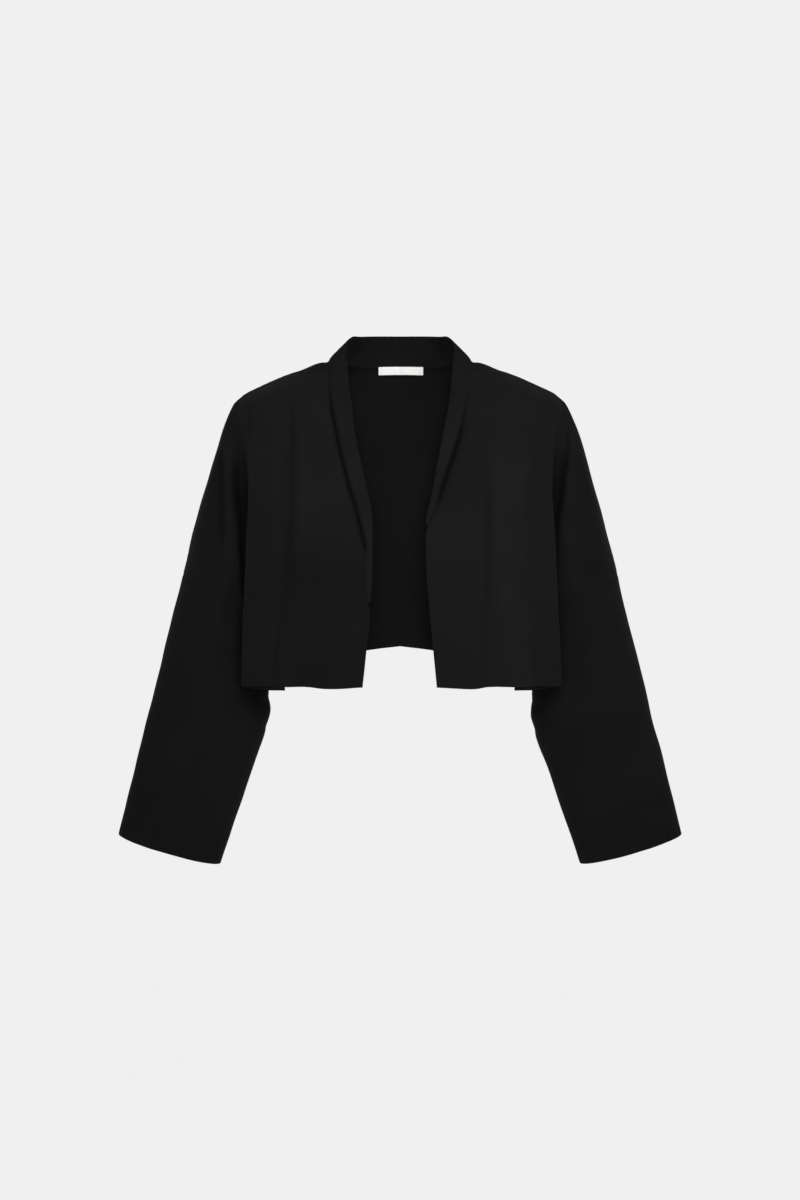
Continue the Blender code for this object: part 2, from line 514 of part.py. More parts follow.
def cloth_surfaces():
    """The middle surface of every cloth piece but the label, with its faces outwards."""
    names = ("front_left", "front_right", "back", "sleeve_left", "sleeve_right", "collar")
    surfaces = {name: Surface() for name in names}
    back, back_arm = back_grids()
    surfaces["back"].add_grid(back, True)
    for side, sign in SIDES.items():
        placed = np.array([sign, 1.0, 1.0])
        flipped = sign < 0
        for grid in front_grids(side):
            surfaces["front_" + side].add_grid(grid * placed, flipped)
        surfaces["back"].add_grid(back_arm * placed, not flipped)
        surfaces["sleeve_" + side].add_grid(sleeve_grid() * placed, flipped)
    surfaces["collar"].add_grid(collar_grid(), True)
    return surfaces


def shared_normals(surfaces):
    """Normals by point, averaged over all the pieces that meet there, so that walls lie parallel at a seam."""
    whole = Surface()
    for surface in surfaces.values():
        ids = [whole.add_point(point) for point in surface.points]
        whole.quads += [[ids[i] for i in quad] for quad in surface.quads]
    return dict(zip(whole.index, whole.normals()))


def main():
    for obj in list(bpy.data.objects):
        bpy.data.objects.remove(obj)
    crepe = material_of(BLACK_CREPE)
    satin = material_of(WHITE_SATIN)
    surfaces = cloth_surfaces()
    normal_at = shared_normals(surfaces)
    for name, surface in surfaces.items():
        add_wall(name, surface, normal_at, COLLAR_CLOTH if name == "collar" else CLOTH, crepe)
    label = Surface()
    label.add_grid(label_grid(), True)
    add_wall("label", label, dict(zip(label.index, label.normals())), LABEL_CLOTH, satin)


main()
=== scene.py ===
"""Looks of a cropped open-front bolero jacket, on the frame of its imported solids.

Metres, +Z up, front towards -Y, the wearer's left at +X. Each cut piece of cloth is a thin shell through
the same sections as its solid, in finer steps, with its creases, sunk seams, turned hems and rounded edges.
"""

import math
from collections import namedtuple

import bpy
import numpy as np
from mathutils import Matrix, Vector, kdtree


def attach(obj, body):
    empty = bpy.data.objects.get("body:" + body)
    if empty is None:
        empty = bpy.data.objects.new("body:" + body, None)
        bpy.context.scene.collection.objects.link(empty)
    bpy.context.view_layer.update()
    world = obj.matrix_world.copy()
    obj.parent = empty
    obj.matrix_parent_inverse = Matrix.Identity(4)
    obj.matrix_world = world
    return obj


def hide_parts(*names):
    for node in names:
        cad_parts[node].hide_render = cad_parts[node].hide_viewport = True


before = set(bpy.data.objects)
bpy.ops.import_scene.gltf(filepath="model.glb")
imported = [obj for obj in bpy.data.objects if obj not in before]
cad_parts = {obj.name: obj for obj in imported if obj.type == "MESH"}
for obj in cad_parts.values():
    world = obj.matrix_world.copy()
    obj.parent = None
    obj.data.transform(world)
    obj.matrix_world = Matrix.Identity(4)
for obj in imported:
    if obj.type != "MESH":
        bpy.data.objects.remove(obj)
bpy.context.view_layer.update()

# Driving dimensions of the cloth
CLOTH = 0.0014
COLLAR_CLOTH = 0.0024
COLLAR_ROLL = 0.0020
COLLAR_WIDTH = 0.045
UNDERARM_DEPTH = 0.310
HEM_WIDTH = 0.022
HEM_CLOTH = 0.0007
HEM_STEP = 0.0012
SIDES = {"left": 1.0, "right": -1.0}
MIRROR = np.array([-1.0, 1.0, 1.0])

# Depths this close count as one, and so do points whose coordinates round alike in this grain
TINY = 1e-9
POINT_GRAIN = 1e-6

# Steps of the surface between the named points of a section, the distance between its rows and the depths
# that have a row
NECK_STEPS = (16, 16)
TORSO_STEPS = (34, 24, 10, 9, 14)
ARM_STEPS = (16, 9, 8)
COLLAR_STEPS = 12
ROW_SPACING = 0.003
ROW_MARKS = (0.015, 0.206, 0.300, 0.310, 0.405)
SLEEVE_ROWS = 116
# The length round a sleeve by which its creases are placed
SLEEVE_GIRTH = 0.344

# Where the side of the upper arm lies between its front and the seam over it: shares along X, Y and Z
ARM_SIDE = (0.775, 0.30, 0.775)

# A section's knots are spaced by this power of the distances, so that its curve doesn't swing out
KNOT_POWER = 0.5
# How far the handles of half a ring reach for each unit of its depth
HANDLE_REACH = 4 / 3

# The corners of a grid's cell, and the turns of a rounded edge, from the outer side to the inner one
GRID_CORNERS = ((0, 0), (1, 0), (1, 1), (0, 1))
RIM_TURNS = (math.radians(45), 0.0, math.radians(-45))

# The label, a bare tape with its ends turned under, and the stitches that hold them
LABEL_WIDTH = 0.0605
LABEL_HEIGHT = 0.0108
LABEL_DROP = 0.0008
LABEL_SHIFT = 0.0012
LABEL_SAG = 0.0007
LABEL_TAPE = 0.0004
LABEL_LIFT = 0.0016
LABEL_TURN = 0.0056
LABEL_TURN_STEP = 0.0004
LABEL_COLUMNS = 150
LABEL_ROWS = 20
# The slight wave along the tape: its height, its turn in radians a metre and its turn at the middle
LABEL_WAVE = 0.0002
LABEL_WAVE_TURN = 95.0
LABEL_WAVE_START = 0.6
STITCH_INSET = 0.0040
STITCHES = 6
STITCH_RADIUS = 0.00016
STITCH_RINGS = 5
STITCH_SIDES = 8
# How far a stitch stands out of the tape, in its radii, and half its length, in its share of the height
STITCH_RISE = 0.3
STITCH_REACH = 0.4

# Most of a noise lies within NOISE_RANGE, which is stretched to a range of tones
NOISE_RANGE = (0.3, 0.7)
TONE_DETAIL = 2.0
RIB_DETAIL = 1.0

# Black crepe
CREPE_COLOUR = (0.0039, 0.0039, 0.0041)
CREPE_TONES = (0.90, 1.10)
CREPE_FLECKS = (0.88, 1.12)
CREPE_ROUGHNESS = 0.82
CREPE_SHINE = 0.03
CREPE_SHEEN = 0.02
SHEEN_ROUGHNESS = 0.55
SHEEN_TINT = (0.30, 0.30, 0.32, 1.0)
# The share of the crepe's colour that is left under full painted shade
PAINTED_SHADE_TONE = 0.15
TONE_SCALE = 14.0
WEAVE_SCALE = 785.0
WEAVE_DISTORTION = 0.6
WEAVE_DETAIL_SCALE = 1.4
WEAVE_STRENGTH = 0.35
WEAVE_HEIGHT = 0.00006
GRAIN_SCALE = 1400.0
GRAIN_DETAIL = 3.0
GRAIN_ROUGHNESS = 0.55
GRAIN_STRENGTH = 0.5
GRAIN_HEIGHT = 0.00018

# The white tape and its thread
White = namedtuple("White", "name colour roughness rib_scale")
SATIN = White("white_satin", (0.54, 0.54, 0.532), 0.45, 620.0)
THREAD = White("white_thread", (0.43, 0.43, 0.424), 0.6, 1500.0)
WHITE_SHINE = 0.3
WHITE_TONES = (0.96, 1.0)
WHITE_TONE_SCALE = 180.0
RIB_DISTORTION = 0.4
RIB_STRENGTH = 0.3
RIB_HEIGHT = 0.00008

# The studio and its lights
FLOOR_Z = -1.3
STAGE_RADIUS = 4.6
STAGE_BEND = 2.2
STAGE_TOP = 3.6
STAGE_BASE = 0.04
STAGE_GLOW = 0.84
STAGE_BEND_STEPS = 20
STAGE_SIDES = 96
WORLD_GLOW = 0.30
BEAM_BLEND = 1.0
WHITE_LIGHT = (1.0, 1.0, 1.0, 1.0)
Light = namedtuple("Light", "name place aim size power cone")
LIGHTS = (
    Light("key_light", (1.9, -2.0, 1.2), (0.0, 0.0, -0.25), 1.2, 22.0, None),
    Light("front_beam", (0.02, -3.0, 0.2), (0.01, 0.0, -0.20), 0.5, 264.0, 22.0),
    Light("near_light", (0.06, -1.5, 0.6), (0.0, 0.0, -0.20), 0.5, 15.0, None),
    Light("back_light", (-0.40, 3.0, -0.45), (0.0, 0.0, -0.25), 0.8, 330.0, 26.0),
)

# The camera
CAMERA_AWAY = 2.6
CAMERA_TILT = 6.0
AIM_Z = -0.311
LENS = 60.0
SENSOR = 36.0

# Every table from here to the hollows gives its places and lengths in millimetres
MM_PER_METRE = 1000


def metres(value):
    """Millimetres, also nested in rows, in metres. None stays."""
    if isinstance(value, tuple):
        return tuple(metres(part) for part in value)
    return None if value is None else value / MM_PER_METRE


def table(kind, rows):
    """Rows in millimetres as rows of a kind in metres."""
    return tuple(kind(*metres(row)) for row in rows)


# Sections across a front as x, y, z on the wearer's left. edge_y is how far forward the front edge lies,
# bust the middle of the front, before, fold and behind the fold beside the arm, inner the bottom of the
# hollow behind it and then the side seam, arm the front of the upper arm, over the seam along its top.
FrontSection = namedtuple("FrontSection", "depth edge_y bust before fold behind inner arm over")
FRONT_SECTIONS = table(FrontSection, (
    (15, -20, (130, -3, -15.8), (166, 3, -28.8), (176, 3.5, -33.2), (185, 4, -37.3), (192, 4, -40.7),
     (199, 4, -44.6), (205.4, 4, -49.7)),
    (47, -48, (134, -44, -42), (172, -36, -49), (184, -30.5, -53), (193.5, -25.5, -56.3), (201, -20, -59.2),
     (209, -11, -61.2), (214.2, 4, -59.5)),
    (87, -73.5, (131, -73.5, -85), (176, -62, -89), (189, -54.5, -92), (196, -47.5, -94.5),
     (203, -42, -96.5), (216, -31, -96.5), (225.8, 3, -87)),
    (134, -94.5, (128, -96.5, -133), (178, -78, -135), (190, -68, -136), (193, -56, -138), (199, -46, -140),
     (217.5, -43, -139.5), (240.5, 1, -132)),
    (185, -111.5, (124, -112.5, -185), (180, -87, -186), (191.5, -76.5, -187), (189, -61, -190),
     (192, -42, -195), (218, -47, -195), (256.2, 0, -185)),
    (238, -121.5, (119, -120.5, -238), (182.5, -89.5, -239), (194, -79, -240), (185, -60, -244),
     (183.5, -35, -252), (218, -48, -248), (270.2, 0, -233.5)),
    (286, -125, (116, -123, -286), (184, -90, -287), (196, -78.5, -288), (180, -56, -290),
     (175.5, -25, -297.5), (221.5, -45.5, -283), (277.5, 0, -263)),
    (310, -126, (116, -123, -310), (185, -89.5, -311), (197, -78, -312), (175.5, -52, -312), (170, 0, -312),
     None, (281.3, 0, -278.4)),
    (320, -125.8, (116.3, -122.7, -320.5), (185.5, -89.3, -321.3), (197.5, -77.8, -321.8),
     (175.5, -51.5, -322.2), (164.8, 1, -323), None, None),
    (334, -125.5, (116.7, -122.2, -334.5), (186.2, -88.9, -335.5), (198, -77.4, -336.3), (176, -51, -337.2),
     (160.8, 2, -339.5), None, None),
    (360, -124.5, (118, -120.5, -361.5), (187.5, -88, -363), (199.5, -76, -364), (178, -50, -366.5),
     (156.5, 3, -372.5), None, None),
    (405, -122, (120, -117.5, -407.5), (189.5, -85, -411.7), (201.5, -73, -413.4), (179, -46, -422),
     (151.5, 5, -430.8), None, None),
))

# Sections across half of the back, out from the centre line: centre, blade and beside lie behind the neck,
# the others are those of a front. The side seam and the seam over the arm are taken from the front.
BackSection = namedtuple("BackSection", "depth centre blade beside bust before fold behind inner arm")
BACK_SECTIONS = table(BackSection, (
    (30, (0, 78.5, -29), (74.5, 56.5, -16.5), (100, 0, -5), (132.5, 13, -17.5), (168.5, 18, -34.5),
     (179.5, 17, -40), (188.5, 15, -44.5), (196.5, 12.5, -48), (206.5, 9, -54)),
    (47, (0, 86.5, -46), (70, 69.5, -31), (101, 31, -12.5), (134, 36, -29), (171.5, 34, -46),
     (183.5, 30, -51), (193, 25.5, -55), (200.5, 21.5, -59.2), (209.5, 14, -61)),
    (87, (0, 101.5, -86), (62, 93, -79), (99.5, 75.5, -64), (132, 70, -77), (175, 59, -87), (188, 52, -91),
     (197, 46, -94), (204, 40, -96.5), (216.5, 29, -96.5)),
    (134, (0, 110.5, -131), (56, 107, -129), (98, 98, -124), (130, 92, -129), (177, 73.5, -134),
     (190, 64, -136), (194, 54, -138), (200.5, 45, -140), (219, 41, -139.5)),
    (185, (0, 114.5, -179), (51, 113.3, -180), (97, 108, -181), (128, 102, -183.5), (178, 80, -186),
     (190.5, 70, -187), (189, 58, -190), (193, 41, -195), (219, 45, -195)),
    (238, (0, 114.5, -229), (48, 113.8, -231), (97, 110, -234), (126, 105, -236), (179.5, 81, -239),
     (191.5, 71, -240), (184.5, 56, -244), (183.5, 34, -252), (219, 46, -248)),
    (286, (0, 112.5, -273), (47, 111.8, -276.5), (97, 108.5, -280), (126, 103.5, -283), (180, 80, -287),
     (192, 70, -288), (179.5, 53, -290), (175.5, 25, -297.5), (222.5, 45, -283)),
    (310, (0, 111.5, -295.5), (47, 110.8, -299), (97, 107.5, -303), (126, 102.5, -306.5), (180, 79.5, -311),
     (192, 69, -312), (175.5, 50, -312), None, None),
    (320, (0, 111, -305), (46.5, 110.3, -308.5), (97, 107, -313), (126, 102, -316.5), (180, 79.1, -321),
     (192, 68.6, -321.8), (175.5, 49.5, -322.2), None, None),
    (334, (0, 110, -318), (46.3, 109.3, -322), (97, 106, -327), (126, 101, -330.5), (180, 78.5, -335.3),
     (192, 68, -336.3), (176.5, 49, -337.2), None, None),
    (360, (0, 108, -343), (45.5, 107.3, -347.5), (97, 103.5, -354), (125.5, 98.5, -358),
     (180.5, 76.5, -364), (192, 66, -365.5), (176, 46, -367.5), None, None),
    (405, (0, 104, -385), (44.3, 103, -390.5), (97, 99.5, -400.5), (125, 94.5, -405.5), (181, 73, -412),
     (192, 63, -414), (175, 40, -419), None, None),
))

# The neckband down each front: where its seam and its free edge lie at each depth
BandSection = namedtuple("BandSection", "depth seam_x free_x free_y free_z")
BAND = {
    "right": table(BandSection, (
        (15, 91.5, 66.3, -19, -15), (39, 89.3, 64.3, -33.5, -38.5), (61, 86.2, 60.5, -49, -60),
        (86.2, 80.8, 57.3, -66.5, -85.5), (120.5, 73.3, 50.5, -86.5, -120),
        (150.5, 65.5, 43.7, -98.5, -150), (189.7, 53.6, 34.8, -110.5, -189),
        (216.5, 47.1, 33.3, -117, -216), (238, 42.7, 33.6, -121.2, -237.8), (262, 42.2, 34, -124, -261.8),
        (283, 41.1, 35, -125.2, -282.9), (300, 39, 36.2, -125.8, -300),
    )),
    "left": table(BandSection, (
        (15, 91.5, 66.3, -19, -15), (45.8, 85.2, 63.5, -38.5, -45.5), (64.5, 80.6, 60.3, -52, -64),
        (89.3, 75.7, 55.3, -69, -88.5), (126.1, 63.9, 47.2, -89, -126), (145.7, 56.9, 43.3, -96.7, -145.5),
        (164, 50.5, 39.7, -103, -164), (184.8, 44, 35.2, -109.8, -184.6), (197, 37.6, 32.3, -113.2, -197),
        (206, 34.5, 32.1, -116, -206),
    )),
}
FrontEdge = namedtuple("FrontEdge", "depth x")
FRONT_EDGE = {
    "right": table(FrontEdge, (
        (310, 37.6), (320, 37.4), (360, 41.5), (405, 46.6),
    )),
    "left": table(FrontEdge, (
        (216, 32.1), (238, 32), (262, 32.6), (310, 36.4), (360, 41.2), (405, 45.8),
    )),
}

# The neckband round the back of the neck, from the centre back to the shoulder
NeckSection = namedtuple("NeckSection", "seam free")
NECK_SECTIONS = table(NeckSection, (
    ((0, 70, -13.3), (0, 63.5, 30.4)),
    ((36, 65, -12.8), (30, 59.5, 30.4)),
    ((64, 49, -10), (50, 48, 29.7)),
    ((82.5, 24, -5), (62.5, 27, 28)),
    ((89, 0, 0.8), (69, 3, 15.8)),
))

# Rings down a sleeve from the armhole to the cuff: x and z of its outer and inner ends, its depth each way,
# and how far its two halves lean apart at the inner end, which keeps them clear of the torso under the arm
SleeveRing = namedtuple("SleeveRing", "out_x out_z in_x in_z mid_y front_depth back_depth lean")
SLEEVE_RINGS = table(SleeveRing, (
    (281.3, -278.4, 170, -312, 0, 45, 45, 26),
    (283.8, -288, 175.2, -320.5, 0, 45.3, 45.2, 20),
    (287.2, -301.5, 176.8, -334.5, 0, 45.6, 45.5, 15),
    (295, -332, 176.8, -368, -1, 46, 46, 12),
    (306.2, -375, 174.8, -412, -3, 46, 46, 9),
    (317.5, -420, 171.2, -456, -5, 45, 44, 7),
    (326.2, -455, 177, -486, -7, 43.5, 42, 6),
    (339.2, -506, 193.5, -533, -11, 40, 39, 5),
    (353.5, -562.5, 214, -590.5, -16, 35, 35, 4),
    (366.9, -615.7, 235.5, -654.7, -20, 30, 31, 3),
))

# Folds and creases: the middle of each as (across, down), its width to either side, how far the cloth
# stands out, or in where negative, the length over which its ends fade, and how much painted shade it gets,
# from 0 to 1, or painted light where negative: painted shade in the fold and painted light on its ridge. On
# the fronts and the back across is x and down the depth below the neck. On a sleeve across runs round it
# from its inner end over the front, and down starts at the armhole.
CREASES = {
    "front_left": (
        # Painted shade beside the neckband's seam, where the band stands off the front, with no fold
        (((81, 70), (75.7, 89), (63.9, 126), (50.5, 164), (43, 195)), 2, 8.5, 0, 25, 0.34),
        (((107, 20), (104, 200), (101, 310), (108, 460)), 13, 13, -2.5, 50, 0),
        (((128, 10), (126, 240), (134, 310), (154, 460)), 15, 15, 3.5, 50, 0),
        (((176, 45), (172, 200), (172, 310), (178, 460)), 11, 11, -2.2, 50, 0),
        (((108.3, 150), (108.2, 230), (107.4, 300), (107, 360), (108, 460)), 5.5, 4.5, -1.3, 35, 0.13),
        (((115, 160), (114.5, 230), (119, 270), (129, 310), (135, 340), (142, 460)), 3, 13, 1.2, 35, 0),
        (((127, 75), (130, 200), (138, 300), (145, 420)), 14, 16, 0.6, 70, 0),
        (((117.5, 62), (118, 84)), 2.5, 2.5, -0.5, 10, 0),
        (((169, 75), (168, 110), (170, 190)), 5, 6, -0.9, 35, 0.08),
        (((156, 190), (160, 270), (169, 350), (172, 460)), 6, 9, -0.8, 60, 0),
        (((76, 280), (80, 350), (88, 460)), 12, 9, -1, 60, 0),
        (((56, 330), (59, 380), (60, 460)), 9, 11, 0.9, 40, 0),
        (((216.5, 75), (215, 130), (210, 210)), 5, 6, 3, 40, -0.06),
        (((213.5, 82), (213, 120), (211, 150)), 2.2, 2.2, -0.6, 20, 0.45),
        # Painted shade over the upper arm, with no fold
        (((230, 110), (237, 200), (242, 310)), 20, 20, 0, 50, 0.28),
        (((196, 225), (199, 350), (201, 460)), 8, 10, 3, 70, 0),
    ),
    "front_right": (
        (((-124, 10), (-126, 250), (-132, 310), (-145, 460)), 13, 13, 3, 50, 0),
        (((-147, 25), (-147, 250), (-154, 310), (-174, 460)), 13, 13, -3, 50, 0),
        (((-137, 35), (-134, 100), (-134.5, 175), (-135, 225), (-133.5, 255), (-136.8, 274), (-140.5, 293),
          (-145.5, 312), (-149.2, 330), (-153, 349), (-156, 386), (-159, 460)), 5.5, 3.8, -1.4, 40, 0.16),
        (((-143, 195), (-144.5, 230), (-146, 270)), 9, 9, -0.8, 30, 0.08),
        (((-129, 45), (-127, 110), (-127.5, 190), (-131, 260)), 4.5, 11, 1.1, 45, -0.05),
        (((-105.5, 232), (-106.5, 300)), 3.5, 2.5, -0.8, 22, 0.12),
        (((-118, 62), (-119, 100)), 3, 3, -0.5, 18, 0.05),
        (((-79, 240), (-83, 330), (-90, 460)), 11, 8, -0.9, 60, 0),
        (((-60, 300), (-64, 360), (-66, 460)), 12, 12, 0.9, 60, 0),
        (((-113, 300), (-119, 360), (-123, 460)), 7, 9, 1, 50, 0),
        (((-170, 100), (-173, 200), (-172, 320)), 5, 7, -0.8, 60, 0),
        (((-216, 80), (-217, 160), (-212, 230)), 5, 5, 3, 40, -0.06),
        (((-190.8, 50), (-190.2, 85), (-190.8, 130)), 2.2, 1.8, -0.6, 18, 0.3),
        (((-226.8, 102), (-227, 165), (-226.2, 250)), 4.5, 4, -1.6, 30, 0.5),
        # Painted shade over the upper arm, with no fold
        (((-230, 90), (-235, 180), (-238, 310)), 18, 14, 0, 50, 0.26),
    ),
    "back": (
        (((-126, 20), (-130, 240), (-138, 460)), 16, 16, -3, 50, 0),
        (((-52, 75), (-58, 240), (-68, 460)), 20, 20, 3.5, 50, 0),
        (((6, 70), (4, 240), (12, 460)), 18, 18, -2.2, 50, 0),
        (((60, 80), (68, 240), (83, 460)), 18, 18, 3.2, 50, 0),
        (((120, 20), (126, 240), (139, 460)), 15, 15, -3, 50, 0),
        (((-152, 110), (-150, 220), (-156, 330), (-157, 460)), 6, 10, 1, 50, 0),
        (((-106, 180), (-101, 280), (-104, 460)), 10, 5, 1, 60, 0),
        (((-81, 120), (-85, 240), (-83, 330)), 6, 9, -0.8, 50, 0),
        (((-20, 210), (-24, 300), (-25, 460)), 8, 11, 1.1, 60, 0),
        (((33, 160), (30, 250), (36, 350), (39, 460)), 10, 6, -1, 50, 0),
        (((93, 130), (98, 230), (96, 300)), 9, 6, -0.9, 45, 0),
        (((111, 240), (114, 330), (116, 460)), 7, 10, 1, 60, 0),
        (((150, 90), (153, 200), (151, 300), (156, 460)), 10, 6, 1.1, 50, 0),
        (((-135, 62), (-148, 120), (-156, 180)), 8, 12, 0.9, 40, 0),
        (((136, 70), (144, 110), (158, 190)), 11, 8, 0.8, 40, 0),
    ),
    "sleeve_right": (
        (((68, 20), (73, 140), (79, 260)), 6, 9, -0.9, 60, 0),
        (((115, 60), (109, 190), (113, 400)), 11, 8, 1.1, 70, 0),
        (((220, 10), (228, 150), (223, 300)), 9, 11, -1.1, 70, 0),
        (((272, 90), (267, 230), (262, 400)), 8, 12, 1, 70, 0),
    ),
    "sleeve_left": (
        (((79, 10), (71, 120), (75, 230)), 9, 6, -0.9, 60, 0),
        (((123, 80), (118, 220), (107, 400)), 8, 11, 1.1, 70, 0),
        (((212, 30), (223, 170), (231, 330)), 11, 8, -1, 70, 0),
        (((280, 50), (270, 200), (267, 400)), 11, 9, 1, 70, 0),
    ),
}

# The deep hollows beside the arms with painted shade in them, painted shadow on the sleeves under the hem,
# painted shade and light on the neckband and broad bands of painted light and shade on the cloth, as rows
# down each: the level, the middle across, the width to either side, how far the cloth stands out and how
# much painted shade it gets, or painted light where negative
HOLLOWS_AND_PAINTED_SHADE = {
    "front_right": (
        # Painted shade in the hollow beside the arm
        ((60, -204.5, 10, 10, 0, 0), (80, -204.5, 11.5, 10.5, -2, 0.04), (101, -203.5, 12, 11, -6, 0.14),
         (126, -202.5, 12.5, 11, -8, 0.34), (152, -202, 12.5, 10.5, -8, 0.54),
         (177, -200.5, 11, 9.5, -6.8, 0.7), (203, -199.5, 8.5, 8, -5, 0.82),
         (228, -200, 6.8, 6.6, -3.8, 0.95), (247, -200.3, 5.8, 5.8, -3, 1),
         (266, -200.3, 4.8, 4.8, -2.2, 1), (292, -200.5, 4.2, 4, -1.6, 0.85),
         (317, -201.5, 4, 3.6, -1.2, 0.72), (355, -203, 3.6, 3.4, -1, 0.72),
         (440, -204, 3.4, 3.4, -1, 0.65)),
        # A broad band of painted light high up and painted shade lower down
        ((20, -125, 70, 75, 0, -0.28), (60, -125, 65, 75, 0, -0.18), (100, -115, 60, 80, 0, -0.06),
         (140, -90, 56, 100, 0, 0), (175, -81, 56, 100, 0, 0.02), (212, -81, 56, 100, 0, 0.12),
         (234, -81, 56, 100, 0, 0.23), (330, -83, 56, 100, 0, 0.25), (390, -85, 56, 100, 0, 0.19),
         (440, -85, 56, 100, 0, 0.12)),
    ),
    "front_left": (
        # Painted shade in the hollow beside the arm
        ((62, 203, 10, 10, 0, 0), (85, 203, 10.5, 11, -3, 0.02), (108, 202.5, 10.5, 11.5, -7, 0.08),
         (126, 202.5, 10.5, 11.5, -8, 0.24), (152, 201.5, 9.5, 10, -7.8, 0.52),
         (177, 200, 7.5, 7.5, -6.2, 0.72), (203, 198.5, 5, 5.5, -4.5, 0.9),
         (228, 199.5, 3.8, 4.5, -3, 0.62), (266, 200.5, 2.8, 3.6, -1.6, 0.42),
         (310, 203, 2.6, 3.2, -1, 0.4), (355, 205.5, 2.6, 3.2, -1, 0.34), (440, 207.5, 2.6, 3.2, -1, 0.25)),
        # A broad band of painted light down the front
        ((20, 130, 60, 50, 0, -0.2), (60, 130, 40, 45, 0, -0.18), (100, 133, 30, 30, 0, -0.2),
         (130, 135, 23, 24, 0, -0.22), (165, 136, 21.5, 22.5, 0, -0.23), (250, 137, 21.5, 22.5, 0, -0.28),
         (290, 140, 20.5, 20.5, 0, -0.3), (330, 145, 19, 17.5, 0, -0.28), (360, 149, 18, 14.5, 0, -0.25),
         (440, 156, 18, 14, 0, -0.2)),
    ),
    "back": (
        # Painted light on the top of the back
        ((20, -1, 46, 42, 0, -0.3), (80, -1, 44, 40, 0, -0.28), (130, -2, 40, 38, 0, -0.16),
         (180, -3, 33, 33, 0, 0)),
        # Painted shade in the hollows beside the arms
        ((75, -204, 10.5, 8.5, 0, 0), (115, -203.5, 11, 9, -5, 0.25), (155, -202, 10, 8.5, -6, 0.55),
         (205, -200, 6.5, 6, -4, 0.85), (260, -200, 4.5, 4.5, -2, 0.8), (440, -199, 3.4, 3.4, -1, 0.5)),
        ((70, 204, 8.5, 10.5, 0, 0), (110, 203.5, 9.5, 11.5, -5.5, 0.22), (150, 202.5, 9, 10, -6.2, 0.5),
         (195, 200, 6.5, 7, -4.5, 0.8), (250, 199, 4.5, 5, -2, 0.85), (440, 198.5, 3.4, 3.6, -1, 0.45)),
    ),
    "collar": (
        # Painted shade over the back of the neckband
        ((-31, 0, 68, 68, 0, 0.22), (-10, 0, 68, 68, 0, 0.18), (8, 0, 68, 68, 0, 0.1),
         (16, 0, 68, 68, 0, 0)),
        # Painted light on the neckband down each front
        ((16, 75, 30, 30, 0, 0), (45, 70, 30, 30, 0, -0.14), (200, 40, 30, 30, 0, -0.1)),
        ((180, -45, 20, 20, 0, 0), (230, -38, 20, 20, 0, -0.1), (300, -37, 20, 20, 0, -0.13)),
        # Painted shade in the neckband's corners at the sides of the neck
        ((-30, -62, 6, 15, 0, 0.45), (-12, -64, 5, 13, 0, 0.42), (10, -66, 4, 10, 0, 0)),
        ((-30, 62, 16, 6, 0, 0.4), (-12, 64, 15, 5, 0, 0.32), (10, 66, 10, 4, 0, 0)),
    ),
    "sleeve_right": (
        # Painted shadow of the hem and the torso on the top of the sleeve
        ((0, 40, 40, 14, 0, 0.45), (50, 40, 40, 14, 0, 0.55), (90, 34, 45, 20, 0, 0.65),
         (108, 24, 48, 28, 0, 0.72), (128, 14, 48, 30, 0, 0.58), (152, 5, 48, 28, 0, 0.3),
         (190, 0, 45, 22, 0, 0)),
        # Faint painted shade down the sleeve
        ((0, 98, 70, 90, 0, 0.1), (160, 98, 70, 90, 0, 0.09), (260, 98, 70, 90, 0, 0)),
    ),
    "sleeve_left": (
        # Painted shadow of the hem and the torso on the top of the sleeve
        ((0, 40, 40, 12, 0, 0.25), (55, 40, 40, 12, 0, 0.3), (90, 32, 45, 18, 0, 0.5),
         (108, 22, 48, 26, 0, 0.66), (130, 12, 48, 28, 0, 0.5), (155, 4, 48, 26, 0, 0.26),
         (195, 0, 45, 20, 0, 0)),
        # Faint painted shade down the sleeve
        ((0, 98, 70, 90, 0, 0.09), (150, 98, 70, 90, 0, 0.08), (250, 98, 70, 90, 0, 0)),
    ),
}
# A hollow is sunk over this share of the width over which it has painted shade
HOLLOW_CORE = 0.7

# Bends across the inside of the elbow: how far down the middle lies, half the width, how far it reaches
# round the sleeve each way from the inner end, how far it slants down over that, how far it stands out
Bend = namedtuple("Bend", "piece down half_width reach slant push")
BENDS = (
    Bend("sleeve_right", 0.128, 0.006, 0.04, 0.018, -0.0014),
    Bend("sleeve_right", 0.146, 0.008, 0.052, -0.008, 0.001),
    Bend("sleeve_right", 0.166, 0.006, 0.034, -0.022, -0.0011),
    Bend("sleeve_left", 0.132, 0.007, 0.046, 0.014, -0.0013),
    Bend("sleeve_left", 0.153, 0.007, 0.04, -0.012, 0.001),
    Bend("sleeve_left", 0.17, 0.006, 0.044, -0.024, -0.001),
)

# How much lower than its corner's level the hem of a front hangs, by the column of its grid
HemSag = namedtuple("HemSag", "column sag")
HEM_SAGS = (
    HemSag(0, 0.0028), HemSag(5, 0.003), HemSag(10, 0.0035), HemSag(17, 0.004), HemSag(20, 0.0039),
    HemSag(24, 0.0031), HemSag(27, 0.002), HemSag(30, 0.0009), HemSag(34, 0.0),
)
# How far above the hem the sag sets in
HEM_SAG_REACH = 0.06

# Slow waves that keep the cloth from lying perfectly smooth: direction, length, height, phase
Wave = namedtuple("Wave", "direction length height phase")
WAVES = (
    Wave((0.92, 0.1, 0.38), 0.083, 0.0004, 0.4),
    Wave((0.75, -0.35, -0.56), 0.061, 0.0003, 2.1),
    Wave((-0.3, 0.6, 0.74), 0.117, 0.00035, 4.0),
    Wave((0.98, 0.15, -0.12), 0.039, 0.00018, 1.3),
    Wave((0.4, -0.2, 0.89), 0.047, 0.00015, 5.2),
)
